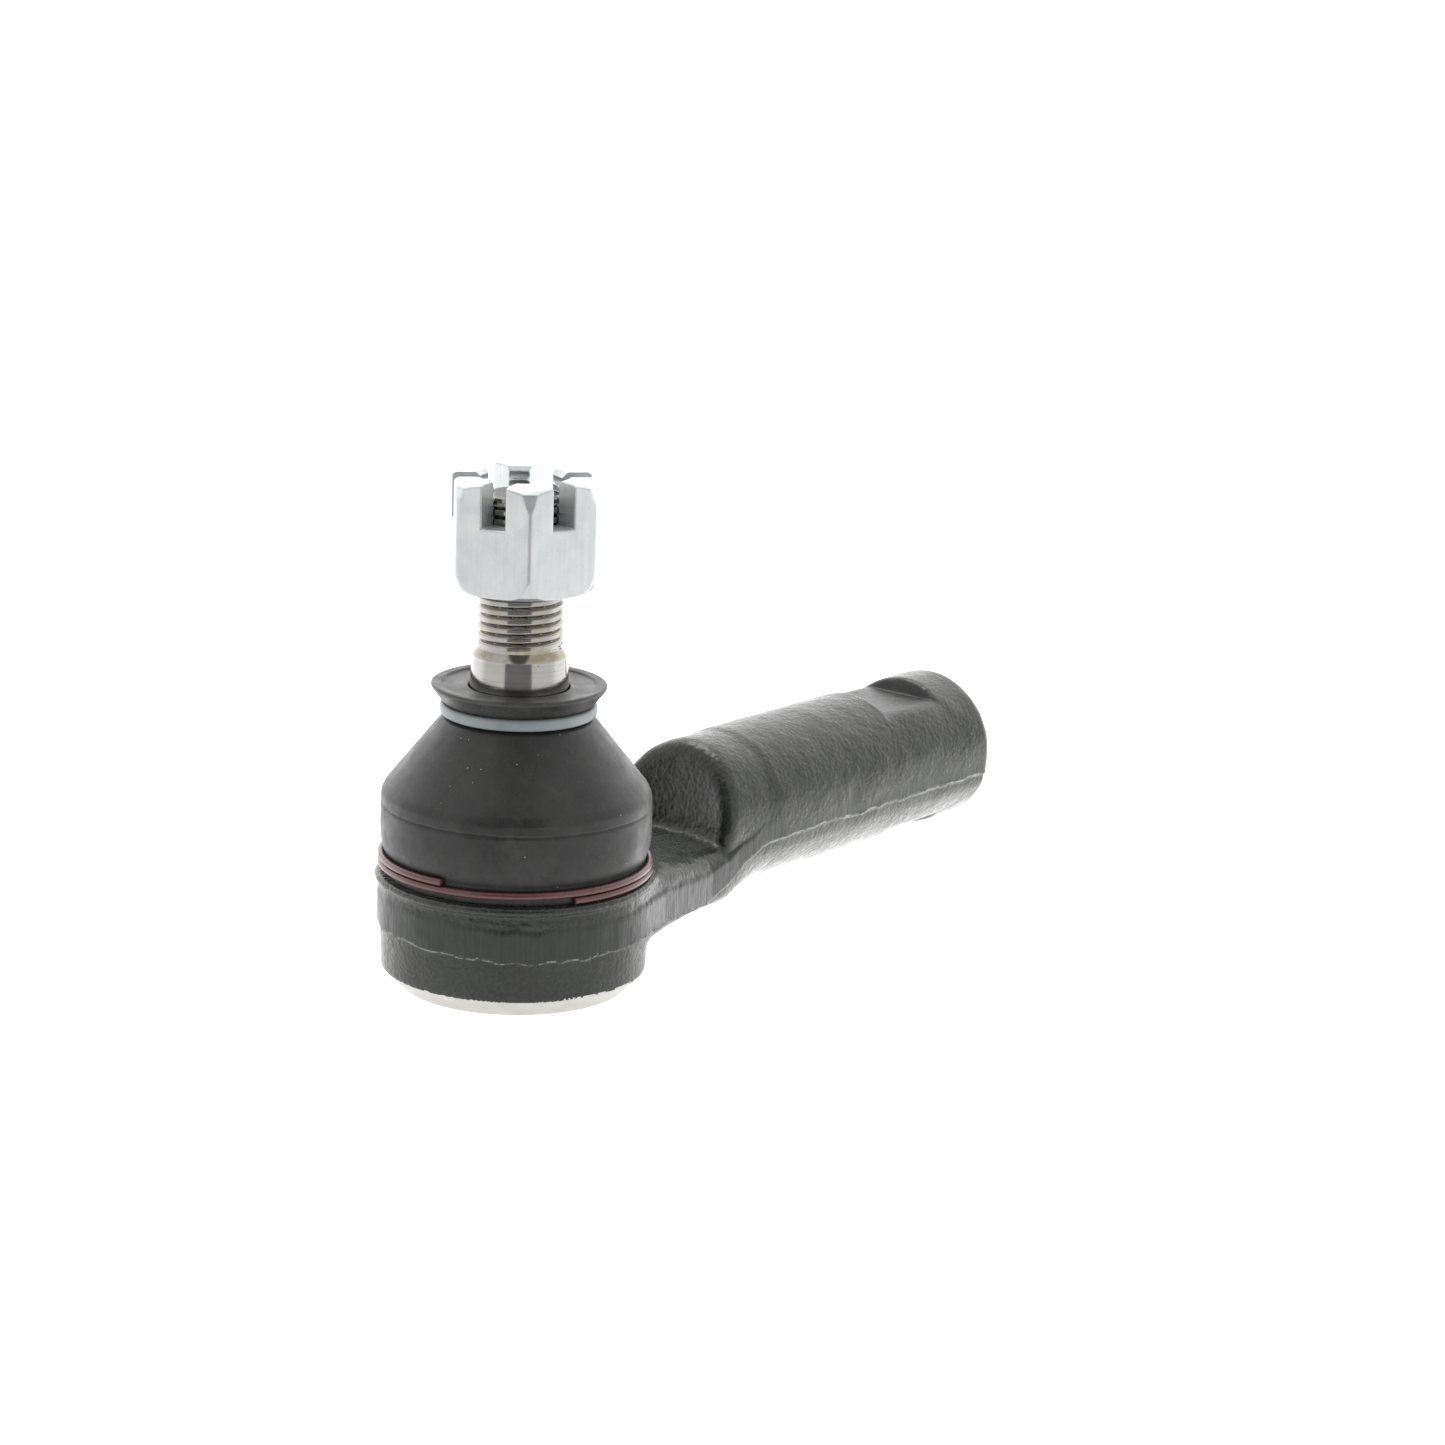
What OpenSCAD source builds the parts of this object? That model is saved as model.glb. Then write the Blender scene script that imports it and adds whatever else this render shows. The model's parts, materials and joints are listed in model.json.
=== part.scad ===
// Outer tie rod end: forged housing with a female-threaded shank, and a
// preloaded ball joint with a tapered stud, a castle nut and a dust boot.
//
// Frame: the origin is the centre of the ball. +Z runs along the stud towards
// the nut, +X runs along the shank towards its threaded mouth. Millimetres.

/* [Housing] */
// Diameter of the forged barrel around the ball
barrel_d = 37; // [34:0.5:48]
// Depth of the lower rim below the ball centre
base_drop = 13; // [12.6:0.1:18]
// Height of the top shoulder above the ball centre
shoulder_rise = 3.1; // [2:0.1:3.6]
// Height of the collar that the boot grips, above the shoulder
collar_h = 3.9; // [3.6:0.1:4.5]
// Height of the bevel on the lower rim
rim_bevel = 2.7; // [1.5:0.1:3]
// Width of the trimmed parting band, measured along Z
parting_band_h = 4.6; // [3:0.1:6]
// How far the trimmed parting band stands out of the barrel
parting_band_t = 0.55; // [0.2:0.05:0.8]

/* [Shank] */
// Distance from the stud axis to the end face of the shank
shank_reach = 99.7; // [85:0.1:140]
// Diameter of the shank
shank_d = 22.2; // [20:0.1:28]
// Height of the shank axis above the ball centre
shank_rise = 3.5; // [2:0.1:6]
// Nominal diameter of the rod thread in the shank
rod_thread_d = 14; // [10:1:16]
// Depth of the full rod thread
rod_thread_depth = 44; // [30:1:46]
// Length of the wrench flats along the shank
flat_length = 12.5; // [8:0.5:20]
// Distance from the end face to the wrench flats
flat_setback = 9.8; // [5:0.1:15]
// Depth of each wrench flat
flat_depth = 2; // [0.5:0.1:2.5]
// Radius of the rounded outer edge of the end face
end_round = 2.2; // [0.5:0.1:3]
// Radius of the foot of the scallop that clears the boot, from the stud axis
scallop_foot_r = 34.5; // [32:0.5:40]
// Thickness of the web between the barrel and the shank
web_t = 10; // [8:0.1:12]
// Radius along the lower edges of the web
web_edge_r = 3; // [1:0.1:4]

/* [Ball stud] */
// Diameter of the ball
ball_d = 20; // [16.5:0.1:20.4]
// Diameter of the neck under the taper
neck_d = 11; // [9:0.1:11.4]
// Diameter of the small end of the taper
taper_small_d = 13.1; // [12.6:0.1:15]
// Height of the small end of the taper above the ball centre
taper_top = 34; // [32:0.5:44]
// Taper ratio: length over change in diameter
taper_ratio = 8; // [6:0.5:12]
// Nominal diameter of the stud thread
stud_thread_d = 12; // [10:1:12]
// Height of the stud's end face above the ball centre
stud_top = 56.2; // [52:0.1:70]
// Diameter of the cotter pin hole
cotter_d = 2.5; // [2:0.1:4]
// Distance from the stud's end face to the cotter hole's axis
cotter_setback = 2; // [2:0.1:6]

/* [Castle nut] */
// Width across the flats
nut_af = 19.2; // [17:0.1:24]
// Overall height, crown included
nut_h = 15.6; // [12:0.1:18]
// Width of each crown slot
slot_w = 3.5; // [2:0.1:4.5]
// Depth of the crown slots
slot_depth = 6.1; // [4:0.1:7]
// Height of the nut's lower face above the ball centre
nut_seat = 43.3; // [37:0.1:50]
// Turn of the nut about the stud, in degrees
nut_turn = -13.6; // [-30:0.1:30]

/* [Dust boot] */
// How far the straight belt stands out past the barrel's radius
belt_step = 0.3; // [-0.5:0.1:0.5]
// Height of the belt's crease above the ball centre
belt_top = 12.9; // [11:0.1:16]
// Wall thickness of the boot
boot_wall = 1.7; // [1.2:0.1:2.2]
// Diameter of the seat of the upper ring
neck_seat_d = 17.8; // [17:0.1:20]
// Height of the upper ring's lower face above the ball centre
ring_seat = 25.5; // [24:0.1:28]
// Height of the upper ring
ring_h = 1.65; // [1.2:0.05:2.5]
// Radial width of the upper ring
ring_w = 1.9; // [1.2:0.1:3]
// How far the sealing lip stands out past the upper ring
lip_step = 1.3; // [0.5:0.1:3]
// Height of the sealing lip's top above the ball centre
lip_top = 29.9; // [28:0.1:33]

/* [Boot clip] */
// Diameter of the clip's wire
wire_d = 1; // [0.8:0.05:1.2]
// Number of turns of the clip
clip_turns = 1.84; // [1.5:0.01:1.9]
// Direction of the clip's lower end about the stud, in degrees
clip_start = -113.5; // [-180:0.5:180]

/* [Ball seats] */
// Wall thickness of the plastic seats
seat_wall = 2.1; // [1.6:0.1:2.4]
// Split between the upper and the lower seat
seat_gap = 0.3; // [0.1:0.05:0.6]
// Thickness of the end cap
cap_t = 1.8; // [1.4:0.1:2.2]
// Thickness of the disc spring
spring_t = 0.9; // [0.5:0.05:1.1]

/* [Clearances] */
// Radial clearance of the ball in its seats
ball_gap = 0.03; // [0.01:0.01:0.1]
// Clearance between the boot and the pieces that it grips
boot_gap = 0.05; // [0.02:0.01:0.1]
// Radial clearance of the nut on the stud thread
thread_gap = 0.06; // [0.02:0.01:0.1]
// Radial clearance of the seats and the cap in the housing
seat_fit = 0.05; // [0.02:0.01:0.1]

/* [Hidden] */
$fn = 96;
eps = 0.01;

// Barrel and collar
barrel_r = barrel_d / 2;
base_z = -base_drop;
band_r = barrel_r + parting_band_t;
band_top = shoulder_rise - 2.4;
top_edge_r = barrel_r + 0.9;
rim_r = barrel_r - rim_bevel;
belt_r = barrel_r + belt_step;
foot_r = belt_r - 0.7;
collar_r = foot_r - 1.4;
collar_groove_r = foot_r - 2.1;
collar_top = shoulder_rise + collar_h;
collar_lip_h = 1.4;

// Ball cavity
ball_r = ball_d / 2;
seat_in_r = ball_r + ball_gap;
seat_out_r = seat_in_r + seat_wall;
cavity_r = seat_out_r + seat_fit;
mouth_r = 0.94 * ball_r;
ceiling_z = 0.5 * ball_r;
mouth_flare = 1;

// Crimped end cap
cap_r = rim_r - 0.7;
cap_low = base_z + 1.1;
cap_high = cap_low + cap_t;
crimp_r = cap_r - 1.6;
cap_dish = 0.7;
spring_out_r = cavity_r - 0.4;
cap_dish_r = spring_out_r - 0.8;
spring_in_r = 0.62 * ball_r;
spring_rise = 0.6;
stack_gap = 0.02;
lower_seat_z = cap_high + spring_t + spring_rise + 2 * stack_gap;
ball_flat = 0.83 * ball_r;

// Web and shank
shank_r = shank_d / 2;
web_low = shoulder_rise + 0.2 - web_t;
web_root_x = 6;
web_root_y = sqrt(pow(barrel_r, 2) - pow(web_root_x, 2)) - 0.6;
web_end_x = scallop_foot_r + 8;
web_side_x = scallop_foot_r + 0.5;
saddle_drop = 1.8;
scallop_top_r = scallop_foot_r + 3.4;
shank_start = barrel_r - 2;
bore_r = rod_thread_d / 2;
drill_tip = 3.2;
mouth_chamfer = 0.9;

// Stud
neck_r = neck_d / 2;
taper_small_r = taper_small_d / 2;
taper_low = ring_seat - 4.5;
taper_large_r = taper_r(taper_low);
stud_thread_r = stud_thread_d / 2 - 0.05;
undercut_r = stud_thread_r - 0.65;
thread_low = taper_top + 1.6;
end_chamfer = 0.9;
cotter_turn = nut_turn - 30;

// Boot
ring_top = ring_seat + ring_h;
neck_seat_r = neck_seat_d / 2;
ring_r = neck_seat_r + boot_gap + ring_w;
lip_r = ring_r + lip_step;
flank_top_r = neck_seat_r + 1.6;
shoulder_corner_z = belt_top + 1.5;
cavity_top = ring_seat - 2.2;

// Boot clip
wire_r = wire_d / 2;
clip_pitch = wire_d + 0.04;
clip_low = shoulder_rise + wire_r + 0.17;
clip_r = foot_r + boot_gap + wire_r;
wire_sides = 12;
clip_steps = 120;

// Radius of the ground taper at height z
function taper_r(z) = taper_small_r + (taper_top - z) / (2 * taper_ratio);

// Centre of the clip's wire after the part t of its length, from 0 to 1
function clip_angle(t) = clip_start + 360 * clip_turns * t;
function clip_z(t) = clip_low + clip_pitch * clip_turns * t;

// Points of an arc in a profile, from angle a0 to a1
function arc(cx, cz, r, a0, a1, n = 8) =
    [for (i = [0 : n]) let (a = a0 + (a1 - a0) * i / n) [cx + r * cos(a), cz + r * sin(a)]];

// Outer shape of the barrel, the shoulder and the collar
module barrel_solid() {
    rotate_extrude()
    polygon(concat([
        [0, base_z],
        [rim_r, base_z],
        [barrel_r - 0.15, base_z + rim_bevel],
        [barrel_r + 0.05, band_top - parting_band_h - parting_band_t],
        [band_r, band_top - parting_band_h],
        [band_r, band_top],
        [barrel_r + 0.3, shoulder_rise - 1.4]],
        arc(top_edge_r - 0.5, shoulder_rise - 0.5, 0.5, 0, 90),
        [[collar_groove_r, shoulder_rise],
        [collar_groove_r, collar_top - collar_lip_h],
        [collar_r, collar_top - collar_lip_h + 0.3],
        [collar_r, collar_top - 0.4],
        [collar_r - 0.4, collar_top],
        [0, collar_top]]));
}

// Stretch of the web between two places along X, each given as [x, half width].
// Its lower side edges are rounded in steps.
module web_stretch(near, far) {
    hull() {
        for (a = [0 : 22.5 : 90])
            let (inset = web_edge_r * (1 - cos(a)), depth = web_edge_r * sin(a))
            translate([0, 0, web_low + web_edge_r - depth])
            linear_extrude(eps)
            polygon([
                [near.x, inset - near.y],
                [far.x, inset - far.y],
                [far.x, far.y - inset],
                [near.x, near.y - inset]]);
        translate([0, 0, web_low + web_t])
        linear_extrude(eps)
        polygon([[near.x, -near.y], [far.x, -far.y], [far.x, far.y], [near.x, near.y]]);
    }
}

// Web that joins the barrel to the shank, with its end sloped up into the shank
module web_solid() {
    side_y = shank_r - 0.05;
    slope_x = scallop_foot_r - 2;
    intersection() {
        union() {
            web_stretch([web_root_x, web_root_y], [web_side_x, side_y]);
            web_stretch([web_side_x - eps, side_y], [web_end_x, side_y]);
        }
        translate([0, barrel_d, 0])
        rotate([90, 0, 0])
        linear_extrude(2 * barrel_d)
        polygon([
            [0, web_low - 1],
            [slope_x - 1, web_low - 1],
            [web_end_x + 1, shank_rise - 2],
            [web_end_x + 1, shank_rise + 2],
            [0, shank_rise + 2]]);
    }
}

// Shank with a rounded end
module shank_solid() {
    translate([0, 0, shank_rise])
    rotate([0, 90, 0])
    rotate_extrude()
    polygon(concat([
        [0, shank_start],
        [shank_r, shank_start]],
        arc(shank_r - end_round, shank_reach - end_round, end_round, 0, 90),
        [[0, shank_reach]]));
}

// Space swept about the stud axis that clears the boot and its clip
module scallop_cut() {
    saddle_z = shoulder_rise - saddle_drop;
    rotate_extrude()
    polygon(concat([
        [top_edge_r - 0.5, shoulder_rise],
        [top_edge_r + 1, shoulder_rise]],
        arc(scallop_foot_r - 1.5, saddle_z + 1.5, 1.5, -90, -14),
        [[scallop_top_r - 0.6, shank_rise + shank_r - 1.6],
        [scallop_top_r + 0.5, shank_rise + shank_r - 0.1],
        [scallop_top_r + 0.5, shank_rise + shank_r + 5],
        [top_edge_r - 0.5, shank_rise + shank_r + 5]]));
}

// Ball cavity, the seat for the end cap and the mouth for the stud
module cavity_cut() {
    rotate_extrude()
    polygon(concat([
        [0, base_z - 1],
        [crimp_r, base_z - 1],
        [crimp_r, cap_low],
        [cap_r + seat_fit, cap_low],
        [cap_r + seat_fit, cap_high],
        [cavity_r, cap_high]],
        arc(0, 0, cavity_r, 0, asin(ceiling_z / cavity_r), 24),
        [[mouth_r, ceiling_z],
        [mouth_r + mouth_flare, collar_top],
        [mouth_r + mouth_flare, collar_top + 1],
        [0, collar_top + 1]]));
}

// Tapped hole in the shank, at the nominal thread diameter
module rod_bore_cut() {
    translate([shank_reach, 0, shank_rise])
    rotate([0, -90, 0])
    rotate_extrude()
    polygon([
        [0, -1],
        [bore_r + mouth_chamfer, -1],
        [bore_r + mouth_chamfer, 0],
        [bore_r, mouth_chamfer],
        [bore_r, rod_thread_depth],
        [0, rod_thread_depth + drill_tip]]);
}

// The two wrench flats, above and below the shank
module wrench_flat_cuts() {
    flat_start = shank_reach - flat_setback - flat_length;
    for (side = [0, 180])
        translate([flat_start, 0, shank_rise])
        rotate([side, 0, 0])
        translate([0, -shank_r, shank_r - flat_depth])
        cube([flat_length, shank_d, 2 * flat_depth]);
}

module housing() {
    color([0.33, 0.35, 0.34])
    difference() {
        union() {
            barrel_solid();
            difference() {
                union() {
                    web_solid();
                    shank_solid();
                }
                scallop_cut();
                translate([0, 0, shoulder_rise])
                cylinder(h = shank_d, r = top_edge_r);
            }
        }
        cavity_cut();
        rod_bore_cut();
        wrench_flat_cuts();
    }
}

module ball_stud() {
    color([0.78, 0.77, 0.74])
    difference() {
        rotate_extrude()
        polygon(concat(
            [[0, -ball_flat]],
            arc(0, 0, ball_r, -asin(ball_flat / ball_r), acos(neck_r / ball_r), 48),
            [[neck_r, taper_low - 7],
            [neck_r + 0.35, taper_low - 4.6],
            [taper_large_r - 0.3, taper_low - 0.7],
            [taper_large_r, taper_low],
            [taper_small_r, taper_top],
            [undercut_r + 0.2, taper_top + 0.7],
            [undercut_r, thread_low - 0.3],
            [stud_thread_r, thread_low + 0.5],
            [stud_thread_r, stud_top - end_chamfer],
            [stud_thread_r - end_chamfer, stud_top],
            [0, stud_top]]));
        rotate([0, 0, cotter_turn])
        translate([0, 0, stud_top - cotter_setback])
        rotate([0, 90, 0])
        cylinder(h = 2 * stud_thread_d, d = cotter_d, center = true);
    }
}

module castle_nut() {
    corner_r = nut_af / 2 / cos(30);
    face_r = nut_af / 2 - 0.4;
    bevel_r = nut_af / 2 + 0.8;
    bevel_h = 0.7;
    corner_h = 3;
    nut_bore_r = stud_thread_r + thread_gap;
    color([0.86, 0.88, 0.9])
    translate([0, 0, nut_seat])
    rotate([0, 0, nut_turn])
    difference() {
        intersection() {
            cylinder(h = nut_h, r = corner_r, $fn = 6);
            rotate_extrude()
            polygon([
                [0, 0],
                [face_r, 0],
                [bevel_r, bevel_h],
                [corner_r + eps, corner_h],
                [corner_r + eps, nut_h - corner_h],
                [bevel_r, nut_h - bevel_h],
                [face_r, nut_h],
                [0, nut_h]]);
        }
        rotate_extrude()
        polygon([
            [0, -1],
            [nut_bore_r + 0.7, -1],
            [nut_bore_r + 0.7, 0],
            [nut_bore_r, 0.7],
            [nut_bore_r, nut_h - 0.5],
            [nut_bore_r + 0.5, nut_h],
            [nut_bore_r + 0.5, nut_h + 1],
            [0, nut_h + 1]]);
        for (turn = [30 : 60 : 330])
            rotate([0, 0, turn])
            translate([0, -slot_w / 2, nut_h - slot_depth])
            cube([nut_af, slot_w, slot_depth + 1]);
    }
}

module dust_boot() {
    grip = boot_gap;
    inner_belt_r = belt_r - boot_wall;
    flank_low = [belt_r - 0.1, shoulder_corner_z];
    flank_high = [flank_top_r, ring_seat - boot_gap - 0.3];
    flank_run = flank_high - flank_low;
    flank_out = [flank_run.y, -flank_run.x] / norm(flank_run);
    inner_low = flank_low - boot_wall * flank_out - [0, 0.4];
    inner_high = flank_high - boot_wall * flank_out - [0, 1.1];
    color([0.24, 0.25, 0.25])
    rotate_extrude()
    polygon([
        [foot_r, shoulder_rise + grip],
        [foot_r, shoulder_rise + 3],
        [belt_r - 0.3, shoulder_rise + 3.3],
        [belt_r, shoulder_rise + 4.2],
        [belt_r, belt_top],
        [belt_r + 0.1, belt_top + 0.7],
        flank_low,
        flank_high,
        [neck_seat_r, ring_seat - boot_gap],
        [neck_seat_r, ring_top + boot_gap],
        [neck_seat_r + 1.8, ring_top + boot_gap],
        [lip_r, lip_top - 0.3],
        [lip_r - 0.3, lip_top],
        [lip_r - 1.6, lip_top],
        [lip_r - 2, lip_top - 0.4],
        [taper_r(lip_top - 0.4) + grip, lip_top - 0.4],
        [taper_r(cavity_top) + grip, cavity_top],
        inner_high,
        inner_low,
        [inner_belt_r, belt_top - 0.4],
        [inner_belt_r, collar_top + 1.2],
        [collar_r + grip, collar_top + grip],
        [collar_r + grip, collar_top - collar_lip_h + 0.2],
        [collar_groove_r + grip, collar_top - collar_lip_h - grip],
        [collar_groove_r + grip, shoulder_rise + grip]]);
}

module boot_ring() {
    edge = 0.3;
    inner_r = neck_seat_r + boot_gap;
    color([0.6, 0.64, 0.68])
    rotate_extrude()
    polygon([
        [inner_r, ring_seat],
        [ring_r - edge, ring_seat],
        [ring_r, ring_seat + edge],
        [ring_r, ring_top - edge],
        [ring_r - edge, ring_top],
        [inner_r, ring_top]]);
}

// Round wire swept along the clip's helix, closed by flat ends
module boot_clip() {
    points = [for (i = [0 : clip_steps], j = [0 : wire_sides - 1])
        let (turn = clip_angle(i / clip_steps), side = 360 * j / wire_sides,
             r = clip_r + wire_r * cos(side))
        [r * cos(turn), r * sin(turn), clip_z(i / clip_steps) + wire_r * sin(side)]];
    skin = [for (i = [0 : clip_steps - 1], j = [0 : wire_sides - 1])
        let (k = (j + 1) % wire_sides, a = i * wire_sides, b = a + wire_sides)
        [a + j, b + j, b + k, a + k]];
    last = clip_steps * wire_sides;
    near_end = [for (j = [0 : wire_sides - 1]) j];
    far_end = [for (j = [wire_sides - 1 : -1 : 0]) last + j];
    color([0.45, 0.26, 0.25])
    polyhedron(points, concat(skin, [near_end, far_end]), convexity = 6);
}

module end_cap() {
    color([0.55, 0.56, 0.55])
    rotate_extrude()
    polygon([
        [0, cap_low - cap_dish],
        [cap_dish_r - 1.4, cap_low - cap_dish],
        [cap_dish_r, cap_low],
        [cap_r, cap_low],
        [cap_r, cap_high],
        [cap_dish_r + 0.4, cap_high],
        [cap_dish_r - 1, cap_high - cap_dish],
        [0, cap_high - cap_dish]]);
}

module disc_spring() {
    low = cap_high + stack_gap;
    color([0.4, 0.42, 0.45])
    rotate_extrude()
    polygon([
        [spring_out_r, low],
        [spring_out_r, low + spring_t],
        [spring_in_r, low + spring_t + spring_rise],
        [spring_in_r, low + spring_rise]]);
}

module lower_seat() {
    color([0.88, 0.86, 0.8])
    rotate_extrude()
    difference() {
        translate([0.6 * ball_r, lower_seat_z])
        square([seat_out_r - 0.6 * ball_r, -seat_gap - lower_seat_z]);
        circle(r = seat_in_r);
    }
}

module upper_seat() {
    color([0.88, 0.86, 0.8])
    rotate_extrude()
    difference() {
        intersection() {
            circle(r = seat_out_r);
            square([seat_out_r, ceiling_z - 0.1]);
        }
        circle(r = seat_in_r);
    }
}

housing();
ball_stud();
castle_nut();
dust_boot();
boot_ring();
boot_clip();
end_cap();
disc_spring();
lower_seat();
upper_seat();
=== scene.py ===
"""Looks of the tie rod end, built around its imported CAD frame.

Shapes are worked out in millimetres in the row frame (ball centre at the origin, +Z along the
stud, +X along the shank) and stored in metres.
"""
import json
import math
from itertools import product

import bmesh
import bpy
import numpy as np
from mathutils import Matrix, Vector


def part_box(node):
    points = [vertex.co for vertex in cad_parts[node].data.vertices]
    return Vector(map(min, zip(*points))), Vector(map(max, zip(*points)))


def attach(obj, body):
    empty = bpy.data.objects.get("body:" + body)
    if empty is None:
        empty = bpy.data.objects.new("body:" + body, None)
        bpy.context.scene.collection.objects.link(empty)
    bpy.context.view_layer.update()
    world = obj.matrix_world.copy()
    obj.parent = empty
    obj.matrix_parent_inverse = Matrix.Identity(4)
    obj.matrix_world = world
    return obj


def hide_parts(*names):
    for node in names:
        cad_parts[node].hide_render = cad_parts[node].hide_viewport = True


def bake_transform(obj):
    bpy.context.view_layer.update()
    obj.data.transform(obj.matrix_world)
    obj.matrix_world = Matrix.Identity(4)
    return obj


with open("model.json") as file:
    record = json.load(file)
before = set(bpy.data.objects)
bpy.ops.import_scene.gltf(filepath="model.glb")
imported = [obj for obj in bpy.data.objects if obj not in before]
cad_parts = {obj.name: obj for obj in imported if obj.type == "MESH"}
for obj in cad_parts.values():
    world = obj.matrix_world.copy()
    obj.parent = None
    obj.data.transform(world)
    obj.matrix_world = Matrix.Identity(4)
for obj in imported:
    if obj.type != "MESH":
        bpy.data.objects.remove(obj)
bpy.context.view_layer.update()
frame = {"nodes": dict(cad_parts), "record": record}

MM = 0.001


# ---------------- sizes taken from the frame

def node_box(name):
    """Lowest and highest corner of a CAD node, in millimetres."""
    low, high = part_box(name)
    return np.array(low) / MM, np.array(high) / MM


def mount_place(name):
    """A mount's position, in millimetres."""
    found = [m for m in frame["record"]["mounts"] if m["name"] == name]
    return np.array(found[0]["pos_m"]) / MM


HOUSING_LOW, HOUSING_HIGH = node_box("housing")
STUD_HIGH = node_box("ball_stud")[1]
NUT_LOW, NUT_HIGH = node_box("castle_nut")
BOOT_LOW, BOOT_HIGH = node_box("dust_boot")
RING_LOW, RING_HIGH = node_box("boot_ring")
CLIP_LOW, CLIP_HIGH = node_box("boot_clip")
CAP_HIGH = node_box("end_cap")[1]

BASE_Z = HOUSING_LOW[2]
SHOULDER_Z = BOOT_LOW[2] - 0.05
EDGE_R = HOUSING_HIGH[1]
BARREL_R = EDGE_R - 0.9
BELT_R = BOOT_HIGH[1] - 0.1
FOOT_R = BELT_R - 0.7
COLLAR_R = FOOT_R - 1.4
GROOVE_R = FOOT_R - 2.1
COLLAR_TOP = SHOULDER_Z + 3.9
BALL_R = STUD_HIGH[1]
CAVITY_R = BALL_R + 2.18
CAP_R = CAP_HIGH[0]
CAP_TOP = CAP_HIGH[2]
CAP_T = 1.8
RIM_R = CAP_R + 0.7
REACH = HOUSING_HIGH[0]
SHANK_Z = mount_place("rod_thread")[2]
SHANK_R = HOUSING_HIGH[2] - SHANK_Z
FLAT_LENGTH = 12.5
FLAT_SETBACK = 9.8
FLAT_DEPTH = 2.0
ROD_R = 7.0
ROD_PITCH = 1.5
ROD_THREAD_DEPTH = 0.78
ROD_THREAD_LENGTH = 43.5
BORE_LENGTH = 44.6
BORE_GAP = 0.15
MOUTH_CHAMFER = 0.9
THREAD_R = 5.95
THREAD_DEPTH = 0.46
PITCH = 1.25
TAPER_TOP_R = 6.55
NECK_R = 5.5
STUD_TOP = STUD_HIGH[2]
COTTER_R = 1.25
COTTER_Z = mount_place("cotter_hole")[2]
TAPER_TOP = mount_place("stud_taper")[2]
RING_Z0, RING_Z1 = RING_LOW[2], RING_HIGH[2]
RING_R = RING_HIGH[0]
NECK_SEAT_R = RING_R - 1.95
LIP_TOP = BOOT_HIGH[2]
LIP_R = RING_R + 1.3
BELT_TOP = 12.9
NUT_TURN = math.radians(-13.6)
NUT_AF = 19.2
NUT_SLOT_DEPTH = 6.1
NUT_SLOT_HALF = 1.75


# ---------------- numbers and fields

def smoothstep(low, high, x):
    """0 below low, 1 above high and a smooth step between them."""
    t = np.clip((x - low) / (high - low), 0, 1)
    return t * t * (3 - 2 * t)


def smooth_min(a, b, k):
    """Union of two distance fields with a fillet about k wide."""
    h = np.clip(0.5 + 0.5 * (b - a) / k, 0, 1)
    return b + (a - b) * h - k * h * (1 - h)


def smooth_max(a, b, k):
    """Intersection of two distance fields with an edge rounded about k wide."""
    return -smooth_min(-a, -b, k)


def round_max(a, b, radius):
    """Intersection of two distance fields with its edge rounded and its faces left in place."""
    outer = np.hypot(np.maximum(a + radius, 0), np.maximum(b + radius, 0))
    return outer + np.minimum(np.maximum(a + radius, b + radius), 0) - radius


LATTICE_SIZE = 32
LATTICE = np.random.default_rng(7).random((LATTICE_SIZE,) * 3) * 2 - 1


def lumps(x, y, z, size, shift=0.0):
    """Smooth random value from -1 to 1 that changes over a distance of size."""
    cells, parts = [], []
    for axis in (x, y, z):
        q = axis / size + shift
        low = np.floor(q)
        t = q - low
        cells.append(low.astype(np.int64) % LATTICE_SIZE)
        parts.append(t * t * (3 - 2 * t))
    total = 0.0
    for corner in range(8):
        steps = [(corner >> bit) & 1 for bit in range(3)]
        weight = 1.0
        for t, step in zip(parts, steps):
            weight = weight * (t if step else 1 - t)
        i, j, k = [(c + step) % LATTICE_SIZE for c, step in zip(cells, steps)]
        total = total + weight * LATTICE[i, j, k]
    return total


def outline_distance(points, u, v):
    """Signed distance to a closed outline, negative inside."""
    u, v = np.broadcast_arrays(u, v)
    nearest = np.full(u.shape, np.inf)
    inside = np.zeros(u.shape, bool)
    for (au, av), (bu, bv) in zip(points, points[1:] + points[:1]):
        eu, ev = bu - au, bv - av
        wu, wv = u - au, v - av
        t = np.clip((wu * eu + wv * ev) / (eu * eu + ev * ev), 0, 1)
        nearest = np.minimum(nearest, (wu - t * eu) ** 2 + (wv - t * ev) ** 2)
        crosses = (av <= v) != (bv <= v)
        left = (wu * ev < wv * eu) if ev > 0 else (wu * ev > wv * eu)
        inside ^= crosses & left
    return np.where(inside, -1, 1) * np.sqrt(nearest)


BLOCK = 4
BLOCK_REACH = 1.3
NEWTON_STEPS = 3
CORNERS = list(product((0, 1), repeat=3))


def at_corner(grid, corner):
    """The grid's values at one corner of each of its cells."""
    i, j, k = corner
    n0, n1, n2 = [n - 1 for n in grid.shape]
    return grid[i:n0 + i, j:n1 + j, k:n2 + k]


def values_near_surface(field, axes, step):
    """The field on a grid, worked out only in the blocks of cells that the surface may cross."""
    x, y, z = np.meshgrid(*[a[::BLOCK] for a in axes], indexing="ij")
    coarse = field(x, y, z)
    near = np.abs(coarse) < BLOCK_REACH * BLOCK * step
    blocks = np.zeros([n - 1 for n in coarse.shape], bool)
    for corner in CORNERS:
        blocks |= at_corner(near, corner)
    value = coarse[:-1, :-1, :-1]
    for axis in range(3):
        value = np.repeat(value, BLOCK, axis)
        blocks = np.repeat(blocks, BLOCK, axis)
    value = np.pad(value, [(0, 1)] * 3, mode="edge")
    wanted = np.zeros(value.shape, bool)
    for corner in CORNERS:
        part = at_corner(wanted, corner)
        part |= blocks
    at = np.nonzero(wanted)
    value[at] = field(axes[0][at[0]], axes[1][at[1]], axes[2][at[2]])
    return value


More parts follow.
